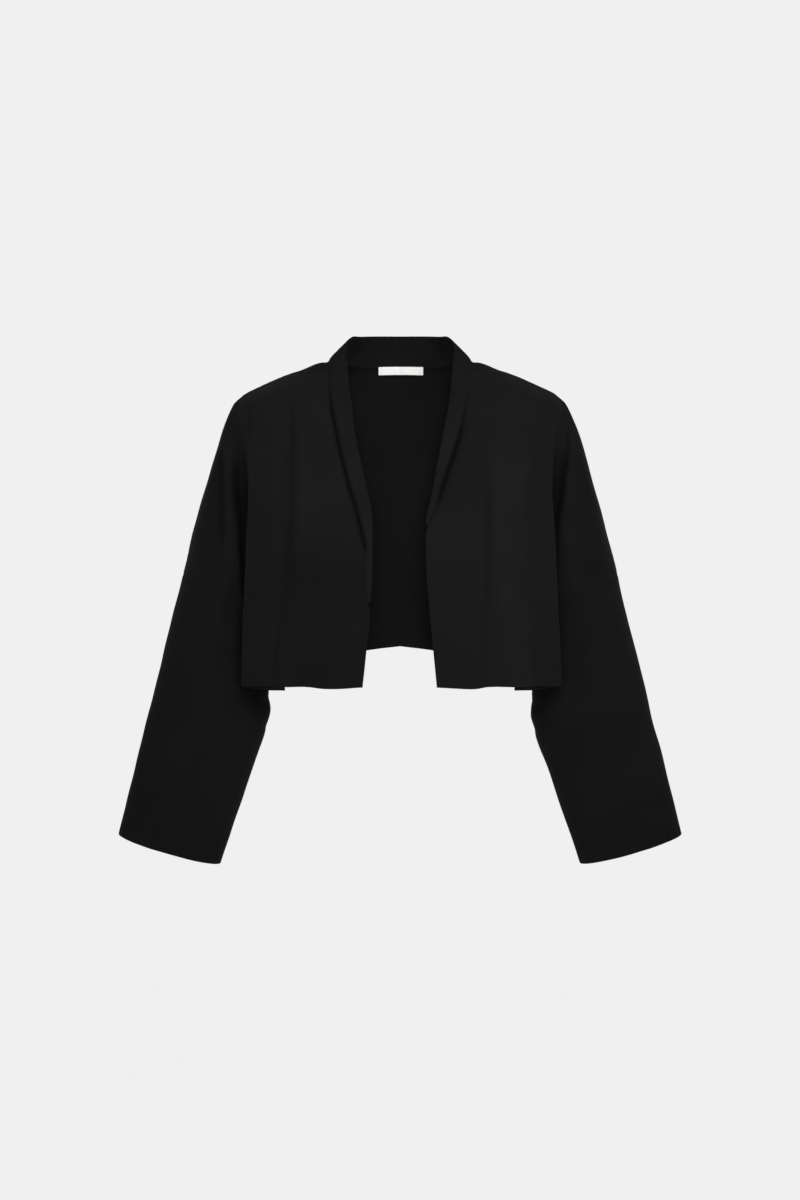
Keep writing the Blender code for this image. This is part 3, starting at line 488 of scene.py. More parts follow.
# How deep below the neck they have their full height
WAVE_START = 0.09

# Where two kinds of piece are sewn together: how far the cloth sinks, over what half width, how high its
# stitch puckers stand, how much painted shade lies along the seam, from 0 to 1, and whether it fades
# towards its ends
Seam = namedtuple("Seam", "kinds dip half_width pucker dark fades")
SEAMS = (
    # Painted shadow of the standing neckband on the front along its seam, and painted shade along the
    # others
    Seam({"front", "collar"}, 0.0026, 0.0034, 0.00015, 0.86, True),
    Seam({"back", "collar"}, 0.0004, 0.0022, 0.00015, 0.34, False),
    Seam({"front", "back"}, 0.0004, 0.0018, 0.00012, 0.3, False),
    Seam({"front", "sleeve"}, 0.0003, 0.002, 0.00025, 0.08, False),
    Seam({"back", "sleeve"}, 0.0003, 0.002, 0.00025, 0.08, False),
)
# The depths between which the neckband's seam sets in on each side, and those between which it fades
SEAM_START = {"right": (0.022, 0.072), "left": (0.03, 0.112)}
SEAM_END = {"right": (0.228, 0.248), "left": (0.162, 0.194)}

# Stitch puckers: how far from a seam they reach, their length, the way they follow one another, how many of
# them the slow change in their height takes and how large it is
PUCKER_REACH = 0.007
PUCKER_LENGTH = 0.0085
PUCKER_WAY = (0.62, 0.18, 0.76)
PUCKER_BEAT = 2.7
PUCKER_CHANGE = 0.4
# How far from a seam the creases have their full height
CREASE_EASE = 0.014

# The sheets as they were cut: width, length and flat area of what shows, and what each is sewn to
Cut = namedtuple("Cut", "width length area rests_on")


def smooth(share):
    """A share held between 0 and 1 and eased at both."""
    share = np.clip(share, 0.0, 1.0)
    return share * share * (3 - 2 * share)


def row_depths():
    """The depth of each row of points, through every mark and at most ROW_SPACING apart."""
    rows = [ROW_MARKS[0]]
    for above, below in zip(ROW_MARKS, ROW_MARKS[1:]):
        count = math.ceil((below - above) / ROW_SPACING)
        rows.extend(np.linspace(above, below, count + 1)[1:])
    return rows


DEPTHS = row_depths()
NECK_COUNT = sum(NECK_STEPS)
TORSO_COUNT = sum(TORSO_STEPS)
ARM_COUNT = sum(ARM_STEPS)
ARM_ROWS = sum(depth <= UNDERARM_DEPTH + TINY for depth in DEPTHS)


def through(knots, rows, wanted):
    """The smooth curve through rows, which lie at increasing knots, read at the wanted knots."""
    knots = np.asarray(knots, float)
    rows = np.asarray(rows, float)
    wanted = np.atleast_1d(np.asarray(wanted, float))
    gaps = np.diff(knots).reshape((-1,) + (1,) * (rows.ndim - 1))
    slopes = np.diff(rows, axis=0) / gaps
    leans = np.empty_like(rows)
    leans[0], leans[-1] = slopes[0], slopes[-1]
    leans[1:-1] = (slopes[1:] * gaps[:-1] + slopes[:-1] * gaps[1:]) / (gaps[1:] + gaps[:-1])
    cell = np.clip(np.searchsorted(knots, wanted, side="right") - 1, 0, len(knots) - 2)
    step = gaps[cell]
    t = (wanted - knots[cell]).reshape(step.shape) / step
    return (
        rows[cell] * (2 * t**3 - 3 * t**2 + 1)
        + leans[cell] * step * (t**3 - 2 * t**2 + t)
        + rows[cell + 1] * (3 * t**2 - 2 * t**3)
        + leans[cell + 1] * step * (t**3 - t**2)
    )


def through_pairs(pairs, wanted):
    """The smooth curve through pairs of a knot and its row, read at the wanted knots."""
    knots, rows = zip(*pairs)
    return through(knots, rows, wanted)


def arc_knots(points, power=1.0):
    """Knots for a curve through points, spaced by the distances between them."""
    spans = np.linalg.norm(np.diff(np.asarray(points, float), axis=0), axis=1)
    return np.concatenate([[0.0], np.cumsum(spans**power)])


def section_curve(points, steps, beyond=None):
    """Points along the smooth curve through points, in so many steps from each point to the next.

    beyond is a further point which only sets how the curve ends.
    """
    full = list(points) if beyond is None else [*points, beyond]
    knots = arc_knots(full, KNOT_POWER)
    wanted = [knots[0]]
    for i, count in enumerate(steps):
        wanted.extend(np.linspace(knots[i], knots[i + 1], count + 1)[1:])
    return through(knots, full, wanted)


def half_ring(start, end, depth, lean):
    """Half a rounded ring from start to end, bulging by depth along Y. lean opens it out at the start."""
    start, end = np.asarray(start, float), np.asarray(end, float)
    handle = np.array([0.0, depth * HANDLE_REACH, 0.0])
    t = np.linspace(0.0, 1.0, ARM_COUNT + 1)[:, None]
    return (
        (1 - t) ** 3 * start
        + 3 * (1 - t) ** 2 * t * (start + handle + np.array([lean, 0.0, 0.0]))
        + 3 * (1 - t) * t**2 * (end + handle)
        + t**3 * end
    )


def front_edge(side, depth):
    """A point of a front's neck seam or, below the end of the neckband, of its free front edge."""
    x = through_pairs([(row.depth, row.seam_x) for row in BAND[side]] + list(FRONT_EDGE[side]), depth)[0]
    y = through_pairs([(row.depth, row.edge_y) for row in FRONT_SECTIONS], depth)[0]
    return np.array([x, y, -depth])


def seam_line(name, rows):
    """The points of the seam inner or over of the front's sections, read at the wanted rows."""
    known = [(row.depth, getattr(row, name)) for row in FRONT_SECTIONS]
    return through_pairs([pair for pair in known if pair[1] is not None], rows)


def arm_side(arm, over):
    """The side of the upper arm, between its front and the seam over it."""
    return np.asarray(arm) + (np.asarray(over) - np.asarray(arm)) * np.array(ARM_SIDE)


def whole_curve(torso, steps, arm, over, bulge):
    """One section, split where its torso meets its arm. The arm is None below the armhole."""
    if over is None:
        return section_curve(torso, steps), None
    if arm is None:
        ring = half_ring(torso[-1], over, bulge, SLEEVE_RINGS[0].lean)
        return section_curve(torso, steps), ring
    side = arm_side(arm, over)
    beyond = (side[0], 2 * over[1] - side[1], side[2])
    curve = section_curve([*torso, arm, side, over], (*steps, *ARM_STEPS), beyond)
    return curve[: sum(steps) + 1], curve[sum(steps) :]


def shoulder_seam():
    """The seam from the neck to the top of the arm, which is the first section of a front."""
    top = FRONT_SECTIONS[0]
    torso = [front_edge("left", top.depth), top.bust, top.before, top.fold, top.behind, top.inner]
    arm = [top.arm, arm_side(top.arm, top.over), top.over]
    return section_curve([*torso, *arm], (*TORSO_STEPS, *ARM_STEPS))


def lofted(depths, curves):
    """The torso and arm grids through a list of whole_curve results at their depths."""
    torso = through(depths, [curve[0] for curve in curves], DEPTHS)
    upper = [(depth, curve[1]) for depth, curve in zip(depths, curves) if curve[1] is not None]
    arm = through_pairs(upper, DEPTHS[:ARM_ROWS])
    arm[:, 0] = torso[:ARM_ROWS, -1]
    return torso, arm


def front_grids(side):
    """The torso and arm grids of one front, on the wearer's left."""
    seam = shoulder_seam()
    curves = [(seam[: TORSO_COUNT + 1], seam[TORSO_COUNT:])]
    for row in FRONT_SECTIONS[1:]:
        torso = [front_edge(side, row.depth), row.bust, row.before, row.fold, row.behind, row.inner]
        curves.append(whole_curve(torso, TORSO_STEPS, row.arm, row.over, -SLEEVE_RINGS[0].front_depth))
    torso, arm = lofted([row.depth for row in FRONT_SECTIONS], curves)
    torso[:, 0] = [front_edge(side, depth) for depth in DEPTHS]
    sags = through_pairs(HEM_SAGS, np.arange(HEM_SAGS[-1].column + 1))
    nearness = smooth(1 - (DEPTHS[-1] - np.array(DEPTHS)) / HEM_SAG_REACH)
    torso[:, : len(sags), 2] -= nearness[:, None] * sags
    return torso, arm


def back_grids():
    """The torso grid of the whole back, from the wearer's right to left, and the arm grid on the left."""
    seam = shoulder_seam()
    top = np.vstack([neck_curves()[0], seam[1 : TORSO_COUNT + 1]])
    depths = [DEPTHS[0]] + [row.depth for row in BACK_SECTIONS]
    curves = [(top, seam[TORSO_COUNT:])]
    for row in BACK_SECTIONS:
        inner = row.inner or seam_line("inner", row.depth)[0]
        over = seam_line("over", row.depth)[0] if row.depth <= UNDERARM_DEPTH else None
        torso = [row.centre, row.blade, row.beside, row.bust, row.before, row.fold, row.behind, inner]
        steps = (*NECK_STEPS, *TORSO_STEPS)
        curves.append(whole_curve(torso, steps, row.arm, over, SLEEVE_RINGS[0].back_depth))
    half, arm = lofted(depths, curves)
    half[ARM_ROWS - 1 :, -1] = seam_line("inner", DEPTHS[ARM_ROWS - 1 :])
    arm[:, -1] = seam_line("over", DEPTHS[:ARM_ROWS])
    return np.concatenate([half[:, :0:-1] * MIRROR, half], axis=1), arm


def sleeve_grid():
    """The rings of one sleeve on the wearer's left, each from its inner end over the front and back."""
    rings = []
    for ring in SLEEVE_RINGS:
        inner = (ring.in_x, ring.mid_y, ring.in_z)
        outer = (ring.out_x, ring.mid_y, ring.out_z)
        front = half_ring(inner, outer, -ring.front_depth, ring.lean)
        back = half_ring(inner, outer, ring.back_depth, ring.lean)
        rings.append(np.vstack([front, back[-2::-1]]))
    knots = arc_knots([(ring.out_x + ring.in_x, ring.out_z + ring.in_z) for ring in SLEEVE_RINGS])
    return through(knots, rings, np.linspace(0.0, knots[-1], SLEEVE_ROWS))


def neck_curves():
    """Seam and free edge of the neckband from the centre back to the shoulder seam."""
    join = BAND["left"][0]
    seam = [*(row.seam for row in NECK_SECTIONS), front_edge("left", join.depth)]
    free = [*(row.free for row in NECK_SECTIONS), (join.free_x, join.free_y, join.free_z)]
    knots = arc_knots(seam)
    wanted = np.linspace(0.0, knots[-1], NECK_COUNT + 1)
    return through(knots, seam, wanted), through(knots, free, wanted)


def both_sides(left, right):
    """One line of points from the wearer's right to the left, out of two that start at the centre."""
    return np.vstack([right[:0:-1] * MIRROR, left])


def collar_grid():
    """The neckband from its end on the wearer's right, round the back of the neck, to its other end."""
    neck_seam, neck_free = neck_curves()
    seams, frees = {}, {}
    for side in SIDES:
        band = BAND[side]
        rows = [depth for depth in DEPTHS if depth <= band[-1].depth + TINY]
        free = through_pairs([(row.depth, (row.free_x, row.free_y, row.free_z)) for row in band], rows)
        seams[side] = np.vstack([neck_seam, [front_edge(side, depth) for depth in rows[1:]]])
        frees[side] = np.vstack([neck_free, free[1:]])
    seam = both_sides(seams["left"], seams["right"])
    free = both_sides(frees["left"], frees["right"])
    across = free - seam
    out = np.cross(across, np.gradient(seam, axis=0))
    out /= np.linalg.norm(out, axis=1, keepdims=True)
    roll = COLLAR_ROLL * np.linalg.norm(across, axis=1, keepdims=True) / COLLAR_WIDTH
    shares = np.linspace(0.0, 1.0, COLLAR_STEPS + 1)
    lines = [seam + across * share + out * roll * 4 * share * (1 - share) for share in shares]
    return np.stack(lines, axis=1)


class Cloth:
    """All the cut pieces, as faces over one list of points that neighbours share along their seams."""

    def __init__(self):
        self.points = []
        self.index = {}
        self.quads = {}
        self.flats = {}
        self.places = {}
        self.hems = []

    def add_point(self, point):
        """The number of a point, which is new unless there is one in its place."""
        key = tuple(int(round(value / POINT_GRAIN)) for value in point)
        if key not in self.index:
            self.index[key] = len(self.points)
            self.points.append(np.array(point, float))
        return self.index[key]

    def add_grid(self, piece, grid, flipped, hemmed=False, round_it=False):
        """Adds a grid of points as faces of a piece. flipped turns the faces round.

        hemmed turns its last row up. round_it measures its creases round a tube.
        """
        ids = np.array([[self.add_point(point) for point in row] for row in grid])
        flat = flat_of(grid)
        quads, flats = grid_faces(ids, flat, flipped)
        self.quads.setdefault(piece, []).append(quads)
        self.flats.setdefault(piece, []).append(flats)
        place = np.stack([grid[:, :, 0], -grid[:, :, 2]], axis=2)
        if round_it:
            place = flat * np.array([SLEEVE_GIRTH, 1.0])
            place[:, :, 0] /= flat[:, -1:, 0]
        self.places.setdefault(piece, []).append((ids.ravel(), place.reshape(-1, 2)))
        if hemmed:
            self.hems.extend(ids[-1])

    def close(self):
        """Joins the lists once every grid is in."""
        self.points = np.array(self.points)
        self.quads = {piece: np.concatenate(parts) for piece, parts in self.quads.items()}
        self.flats = {piece: np.concatenate(parts) for piece, parts in self.flats.items()}

    def normals(self):
        """One unit normal for each point, the mean of the faces of all the pieces round it."""
        normals = np.zeros_like(self.points)
        for quads in self.quads.values():
            corner = self.points[quads]
            face = np.cross(corner[:, 2] - corner[:, 0], corner[:, 3] - corner[:, 1])
            for i in range(4):
                np.add.at(normals, quads[:, i], face)
        return normals / np.linalg.norm(normals, axis=1, keepdims=True)

    def seam(self, kinds):
        """The points where pieces of two kinds are sewn together. A piece's name starts with its kind."""
        first, second = (
            {i for piece, quads in self.quads.items() if piece.startswith(kind) for i in quads.flat}
            for kind in kinds
        )
        return sorted(first & second)


def grid_faces(ids, flat, flipped=False):
    """The faces between a grid's points, and where their corners lie when it is flat."""
    corners = GRID_CORNERS[::-1] if flipped else GRID_CORNERS
    rows, columns = np.array(ids.shape) - 1
    quads, flats = (
        np.stack([part[i : i + rows, j : j + columns] for i, j in corners], axis=2) for part in (ids, flat)
    )
    return quads.reshape(-1, 4), flats.reshape(-1, 4, 2)


def flat_of(grid):
    """Where a grid's points lie when it is laid flat: distances along its rows and down its columns."""
    steps = np.linalg.norm(np.diff(grid, axis=1), axis=2)
    drops = np.linalg.norm(np.diff(grid, axis=0), axis=2)
    across = np.concatenate([np.zeros((len(grid), 1)), np.cumsum(steps, axis=1)], axis=1)
    down = np.concatenate([np.zeros((1, grid.shape[1])), np.cumsum(drops, axis=0)], axis=0)
    return np.stack([across, down], axis=2)


def distance_to(points, ids):
    """How far each point lies from the nearest of the points ids."""
    tree = kdtree.KDTree(len(ids))
    for i in ids:
        tree.insert(points[i], i)
    tree.balance()
    return np.array([tree.find(point)[2] for point in points])


def cut_cloth():
    """Every piece of black cloth at rest, before its creases."""
    cloth = Cloth()
    back, back_arm = back_grids()
    cloth.add_grid("back", back, True, hemmed=True)
    for side, sign in SIDES.items():
        placed = np.array([sign, 1.0, 1.0])
        flipped = sign < 0
        torso, arm = front_grids(side)
        cloth.add_grid("front_" + side, torso * placed, flipped, hemmed=True)
        cloth.add_grid("front_" + side, arm * placed, flipped)
        cloth.add_grid("back", back_arm * placed, not flipped)
        cloth.add_grid("sleeve_" + side, sleeve_grid() * placed, flipped, hemmed=True, round_it=True)
    cloth.add_grid("collar", collar_grid(), True)
    cloth.close()
    return cloth


def beside_wrapped(across, middle, girth):
    """The distance from middle to across, the short way round where girth closes the piece into a tube."""
    beside = across - middle
    return beside if girth is None else (beside + girth / 2) % girth - girth / 2


def crease_shape(row, place, girth):
    """How far a crease moves each point outwards, and how much painted shade, or painted light, it puts on
    it.
    """
    line, before, after, push, fade = metres(row[:-1])
    line_across, line_down = np.array(line).T
    down = np.clip(place[:, 1], line_down[0], line_down[-1])
    beside = beside_wrapped(place[:, 0], through(line_down, line_across, down), girth)
    width = np.where(beside < 0, before, after)
    start = smooth((place[:, 1] - line_down[0]) / fade)
    end = smooth((line_down[-1] - place[:, 1]) / fade)
    share = start * end * np.exp(-((beside / width) ** 2))
    return push * share, row[-1] * share


def hollow_and_painted_shade(rows, place, girth):
    """How far a hollow or band moves each point outwards, and how much painted shade, or painted light, it
    puts on it.
    """
    knots = np.array(rows, float)
    knots[:, :-1] /= MM_PER_METRE
    down = np.clip(place[:, 1], knots[0, 0], knots[-1, 0])
    across, before, after, push, dark = through(knots[:, 0], knots[:, 1:], down).T
    beside = beside_wrapped(place[:, 0], across, girth)
    share = beside / np.where(beside < 0, before, after)
    return push * np.exp(-((share / HOLLOW_CORE) ** 2)), dark * np.exp(-(share**4))


def bend_push(bend, place):
    """How far one bend across the inside of the elbow moves points outwards."""
    beside = beside_wrapped(place[:, 0], 0.0, SLEEVE_GIRTH)
    middle = bend.down + bend.slant * np.abs(beside) / bend.reach
    along = np.exp(-(((place[:, 1] - middle) / bend.half_width) ** 2))
    return bend.push * along * np.exp(-((beside / bend.reach) ** 2))


def waviness(points):
    """The slow rise and fall of the cloth, which sets in below the neck."""
    total = np.zeros(len(points))
    for wave in WAVES:
        turn = points @ np.array(wave.direction) * math.tau / wave.length
        total += wave.height * np.sin(turn + wave.phase)
    return total * smooth(-points[:, 2] / WAVE_START)


def seam_share(points):
    """How much of the neckband's seam shows at each point."""
    depth = -points[:, 2]
    share = {}
    for side in SIDES:
        (start, full), (fade, end) = SEAM_START[side], SEAM_END[side]
        share[side] = smooth((depth - start) / (full - start)) * smooth((end - depth) / (end - fade))
    return np.where(points[:, 0] > 0, share["left"], share["right"])


def dress(cloth):
    """Moves the points by every crease, hollow, slow wave and sunk seam. Returns the painted shade of each
    point, painted light where negative.
    """
    points = cloth.points
    seams = [cloth.seam(seam.kinds) for seam in SEAMS]
    ease = smooth(distance_to(points, sorted(set().union(*seams))) / CREASE_EASE)
    creases, dark = np.zeros(len(points)), np.zeros(len(points))
    for piece, parts in cloth.places.items():
        girth = SLEEVE_GIRTH if piece.startswith("sleeve") else None
        for ids, place in parts:
            shapes = [crease_shape(row, place, girth) for row in CREASES.get(piece, ())]
            shapes += [hollow_and_painted_shade(rows, place, girth) for rows in HOLLOWS_AND_PAINTED_SHADE.get(piece, ())]
            push = sum(shape[0] for shape in shapes)
            push += sum(bend_push(row, place) for row in BENDS if row.piece == piece)
            creases[ids] = push * ease[ids]
            dark[ids] = sum(shape[1] for shape in shapes)
    dip, pucker = np.zeros(len(points)), np.zeros(len(points))
    stitch = points @ np.array(PUCKER_WAY) * math.tau / PUCKER_LENGTH
    for seam, ids in zip(SEAMS, seams):
        away = distance_to(points, ids)
        depth = np.exp(-((away / seam.half_width) ** 2)) * (seam_share(points) if seam.fades else 1.0)
        dip = np.maximum(dip, seam.dip * depth)
        # Painted shade along each seam, where its dip would lie in shade
        dark = np.maximum(dark, dark + (seam.dark - dark) * depth)
        pucker = np.maximum(pucker, seam.pucker * np.exp(-((away / PUCKER_REACH) ** 2)))
    pucker *= np.sin(stitch) * (1 - PUCKER_CHANGE + PUCKER_CHANGE * np.sin(stitch / PUCKER_BEAT))
    cloth.points = points + cloth.normals() * (creases + waviness(points) - dip + pucker)[:, None]
    return dark


def border_edges(quads):
    """The edges that only one face uses, in that face's direction."""
    edges = np.concatenate([quads[:, [i, (i + 1) % 4]] for i in range(4)])
    known = set(map(tuple, edges.tolist()))
    return np.array(sorted((a, b) for a, b in known if (b, a) not in known))


def pulled_in(points, normals, edges):
    """For each border point, the way into its own cloth, square to the border."""
    way = np.zeros_like(points)
    for end in (0, 1):
        ids = edges[:, end]
        inward = np.cross(normals[ids], points[edges[:, 1]] - points[edges[:, 0]])
        np.add.at(way, ids, inward / np.linalg.norm(inward, axis=1, keepdims=True))
    length = np.linalg.norm(way, axis=1, keepdims=True)
    return np.divide(way, length, out=way, where=length > 0)


def show(name, vertices, faces, material):
    """A new object of smooth faces."""
    mesh = bpy.data.meshes.new(name)
    mesh.from_pydata(vertices, [], faces)
    mesh.shade_smooth()
    mesh.materials.append(material)
    obj = bpy.data.objects.new(name, mesh)
    bpy.context.scene.collection.objects.link(obj)
    return obj


def rimmed_shell(name, points, normals, quads, flats, outer, inner, rounding, material):
    """A closed cloth wall through points, outer and inner thick on its two sides.

    rounding is the radius at which each border point's edge turns over, 0 where a neighbour is sewn on.
    """
    count = len(points)
    edges = border_edges(quads)
    border = np.unique(edges)
    inward = pulled_in(points, normals, edges) * rounding[:, None]
    rings = [points + inward + normals * outer[:, None], points + inward - normals * inner[:, None]]
    for turn in RIM_TURNS:
        height = math.sin(turn) * np.where(turn > 0, outer, inner)
        ring = points + inward * (1 - math.cos(turn)) + normals * height[:, None]
        rings.append(ring[border])
    ring_id = np.zeros(count, int)
    ring_id[border] = np.arange(len(border))
    levels = [np.arange(count)]
    levels += [2 * count + k * len(border) + ring_id for k in range(len(RIM_TURNS))]
    levels.append(np.arange(count) + count)
    flat_at = np.zeros((count, 2))
    flat_at[quads.ravel()] = flats.reshape(-1, 2)
    faces, laid = [quads, quads[:, ::-1] + count], [flats, flats[:, ::-1]]
    for upper, lower in zip(levels, levels[1:]):
        a, b = edges.T
        faces.append(np.stack([upper[b], upper[a], lower[a], lower[b]], axis=1))
        laid.append(np.stack([flat_at[b], flat_at[a], flat_at[a], flat_at[b]], axis=1))
    obj = show(name, np.vstack(rings).tolist(), np.concatenate(faces).tolist(), material)
    obj.data.uv_layers.new(name="cut").data.foreach_set("uv", np.concatenate(laid).ravel())
    return obj, np.concatenate([np.arange(count), np.arange(count), *[border] * len(RIM_TURNS)])


def set_painted_shade(obj, values):
    """Stores each point's painted shade, which the cloth's material reads."""
    obj.data.attributes.new("dark", "FLOAT", "POINT").data.foreach_set("value", values)


def declare(obj, node):
    """Puts a piece in the place of its node, whose solid it hides, and hangs it on the root."""
    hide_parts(node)
    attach(obj, "root")


def black_pieces(crepe):
    """The shells of every piece of black cloth."""
    cloth = cut_cloth()
    dark = dress(cloth)
    normals = cloth.normals()
    sewn = set().union(*(cloth.seam(seam.kinds) for seam in SEAMS))
    is_sewn = np.array([i in sewn for i in range(len(cloth.points))])
    hem = smooth((HEM_WIDTH - distance_to(cloth.points, cloth.hems)) / HEM_STEP)
    for piece, quads in cloth.quads.items():
        used, local = np.unique(quads, return_inverse=True)
        half = (COLLAR_CLOTH if piece == "collar" else CLOTH) / 2
        outer = np.full(len(used), half)
        inner = outer + (0.0 if piece == "collar" else HEM_CLOTH) * hem[used]
        rounding = np.where(is_sewn[used], 0.0, half)
        obj, source = rimmed_shell(
            piece + "_crepe", cloth.points[used], normals[used], local.reshape(-1, 4), cloth.flats[piece],
            outer, inner, rounding, crepe,
        )
        set_painted_shade(obj, dark[used][source])
        declare(obj, piece)


def label_line():
    """Points along the neckband behind the tape's middle, and where the tape lies from there.

    That is its one way up, and for each point the way into the neck, the run along the tape and its lift.
    """
    seam, free = (both_sides(line, line) for line in neck_curves())
    along = arc_knots(seam) - arc_knots(seam)[NECK_COUNT]
    run = np.linspace(-LABEL_WIDTH / 2, LABEL_WIDTH / 2, LABEL_COLUMNS + 1)
    base, top = (
        np.stack([np.interp(run + LABEL_SHIFT, along, axis) for axis in line.T], axis=1)
        for line in (seam, free)
    )
    up = top[LABEL_COLUMNS // 2] - base[LABEL_COLUMNS // 2]
    up /= np.linalg.norm(up)
    inward = np.cross(np.gradient(base, axis=0), up)
    inward /= np.linalg.norm(inward, axis=1, keepdims=True)
    base -= up * (LABEL_DROP + LABEL_SAG * (run / (LABEL_WIDTH / 2)) ** 2)[:, None]
    lift = COLLAR_CLOTH / 2 + LABEL_LIFT + LABEL_WAVE * np.sin(run * LABEL_WAVE_TURN + LABEL_WAVE_START)
    return base, up, inward, run, lift


def label_tape(satin):
    """The bare woven tape inside the back of the neck, its two ends turned under."""
    base, up, inward, run, lift = label_line()
    heights = np.linspace(-0.5, 0.5, LABEL_ROWS + 1) * LABEL_HEIGHT
    grid = (base + inward * lift[:, None])[:, None] + up * heights[None, :, None]
    ids = np.arange(grid.shape[0] * grid.shape[1]).reshape(grid.shape[:2])
    quads, flats = grid_faces(ids, flat_of(grid))
    end = smooth((np.abs(run) - (LABEL_WIDTH / 2 - LABEL_TURN)) / LABEL_TURN_STEP)
    outer = np.repeat(LABEL_TAPE / 2 + LABEL_TAPE * end, grid.shape[1])
    half = np.full(len(outer), LABEL_TAPE / 2)
    normals = np.repeat(inward, grid.shape[1], axis=0)
    points = grid.reshape(-1, 3)
    obj, _ = rimmed_shell("label_tape", points, normals, quads, flats, outer, half, half, satin)
    declare(obj, "label")


def stitch(middle, along, up, out, first):
    """The points and faces of one stitch, a short closed grain, whose first point gets the number first."""
    vertices, faces = [], []
    for j in range(STITCH_RINGS):
        turn = math.pi * (j + 0.5) / STITCH_RINGS
        ring = middle - up * math.cos(turn) * STITCH_REACH * LABEL_HEIGHT / STITCHES
        for k in range(STITCH_SIDES):
            angle = math.tau * k / STITCH_SIDES
            side = along * math.cos(angle) + out * math.sin(angle)
            vertices.append(ring + side * STITCH_RADIUS * math.sin(turn))
    for j in range(STITCH_RINGS - 1):
        for k in range(STITCH_SIDES):
            a, b = first + j * STITCH_SIDES + k, first + j * STITCH_SIDES + (k + 1) % STITCH_SIDES
            faces.append((b, a, a + STITCH_SIDES, b + STITCH_SIDES))
    last = first + (STITCH_RINGS - 1) * STITCH_SIDES
    faces.append(tuple(range(first, first + STITCH_SIDES)))
    faces.append(tuple(range(last, last + STITCH_SIDES))[::-1])
    return vertices, faces


def label_stitches(thread):
    """The short stitches that hold the two ends of the tape."""
    vertices, faces = [], []
    base, up, inward, run, lift = label_line()
    for end in (-1, 1):
        place = np.argmin(np.abs(run - end * (LABEL_WIDTH / 2 - STITCH_INSET)))
        out = inward[place]
        level = lift[place] + LABEL_TAPE / 2 + LABEL_TAPE + STITCH_RADIUS * STITCH_RISE
        for i in range(STITCHES):
            height = ((i + 0.5) / STITCHES - 0.5) * LABEL_HEIGHT
            middle = base[place] + up * height + out * level
            more_vertices, more_faces = stitch(middle, np.cross(up, out), up, out, len(vertices))
            vertices += more_vertices
            faces += more_faces
    obj = show("label_stitches", vertices, faces, thread)
    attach(obj, "root")


class Nodes:
    """Builds one material's nodes."""

    def __init__(self, name):
        self.material = bpy.data.materials.new(name)
        self.material.use_nodes = True
        self.tree = self.material.node_tree
        self.surface = self.tree.nodes["Principled BSDF"]

    def fill(self, node, values):
        """Sets a node's inputs to numbers or joins them to other nodes' outputs."""
        for name, value in values.items():
            if isinstance(value, bpy.types.NodeSocket):
                self.tree.links.new(value, node.inputs[name])
            else:
                node.inputs[name].default_value = value

    def add(self, kind, output, values, **settings):
        """The output of a new node with these inputs and settings."""
        node = self.tree.nodes.new("ShaderNode" + kind)
        for name, value in settings.items():
            setattr(node, name, value)
        self.fill(node, values)
        return node.outputs[output]

    def product(self, first, second, kind="Math"):
        """Two values multiplied with each other."""
        return self.add(kind, 0, {0: first, 1: second}, operation="MULTIPLY")

    def toned(self, noise, tones):
        """A noise stretched from NOISE_RANGE to a range of tones."""
        limits = zip(("From Min", "From Max", "To Min", "To Max"), (*NOISE_RANGE, *tones))
        return self.add("MapRange", "Result", {"Value": noise, **dict(limits)})


def black_crepe():
    """Matt black crepe: fine weave, pebbly grain, slow changes of tone, and painted shade in seams, creases
    and hollows and painted light on broad bands.
    """
    nodes = Nodes("black_crepe")
    cut = nodes.add("UVMap", "UV", {}, uv_map="cut")
    place = nodes.add("TexCoord", "Object", {})
    threads = {
        "Vector": cut, "Scale": WEAVE_SCALE, "Distortion": WEAVE_DISTORTION,
        "Detail": RIB_DETAIL, "Detail Scale": WEAVE_DETAIL_SCALE,
    }
    weave = nodes.product(*(nodes.add("TexWave", "Fac", threads, bands_direction=way) for way in "XY"))
    pebbles = {"Vector": cut, "Scale": GRAIN_SCALE, "Detail": GRAIN_DETAIL, "Roughness": GRAIN_ROUGHNESS}
    grain = nodes.add("TexNoise", "Fac", pebbles)
    tone = nodes.add("TexNoise", "Fac", {"Vector": place, "Scale": TONE_SCALE, "Detail": TONE_DETAIL})
    # Painted shade stored on the points darkens the colour, and painted light, stored as negative shade,
    # lightens it
    dark = nodes.add("Attribute", "Fac", {}, attribute_name="dark")
    painted_shade_range = {"Value": dark, "To Min": 1.0, "To Max": PAINTED_SHADE_TONE}
    painted_shade_factor = nodes.add("MapRange", "Result", painted_shade_range, clamp=False)
    mottled = nodes.product(nodes.toned(tone, CREPE_TONES), nodes.toned(grain, CREPE_FLECKS))
    woven = {"Height": weave, "Strength": WEAVE_STRENGTH, "Distance": WEAVE_HEIGHT}
    fine = nodes.add("Bump", "Normal", woven)
    pebbled = {"Height": grain, "Strength": GRAIN_STRENGTH, "Distance": GRAIN_HEIGHT, "Normal": fine}
    nodes.fill(nodes.surface, {
        "Base Color": nodes.product(CREPE_COLOUR, nodes.product(mottled, painted_shade_factor), "VectorMath"),
        "Normal": nodes.add("Bump", "Normal", pebbled),
        "Roughness": CREPE_ROUGHNESS,
        "Specular IOR Level": CREPE_SHINE,
        "Sheen Weight": CREPE_SHEEN,
        "Sheen Roughness": SHEEN_ROUGHNESS,
        "Sheen Tint": SHEEN_TINT,
    })
    return nodes.material


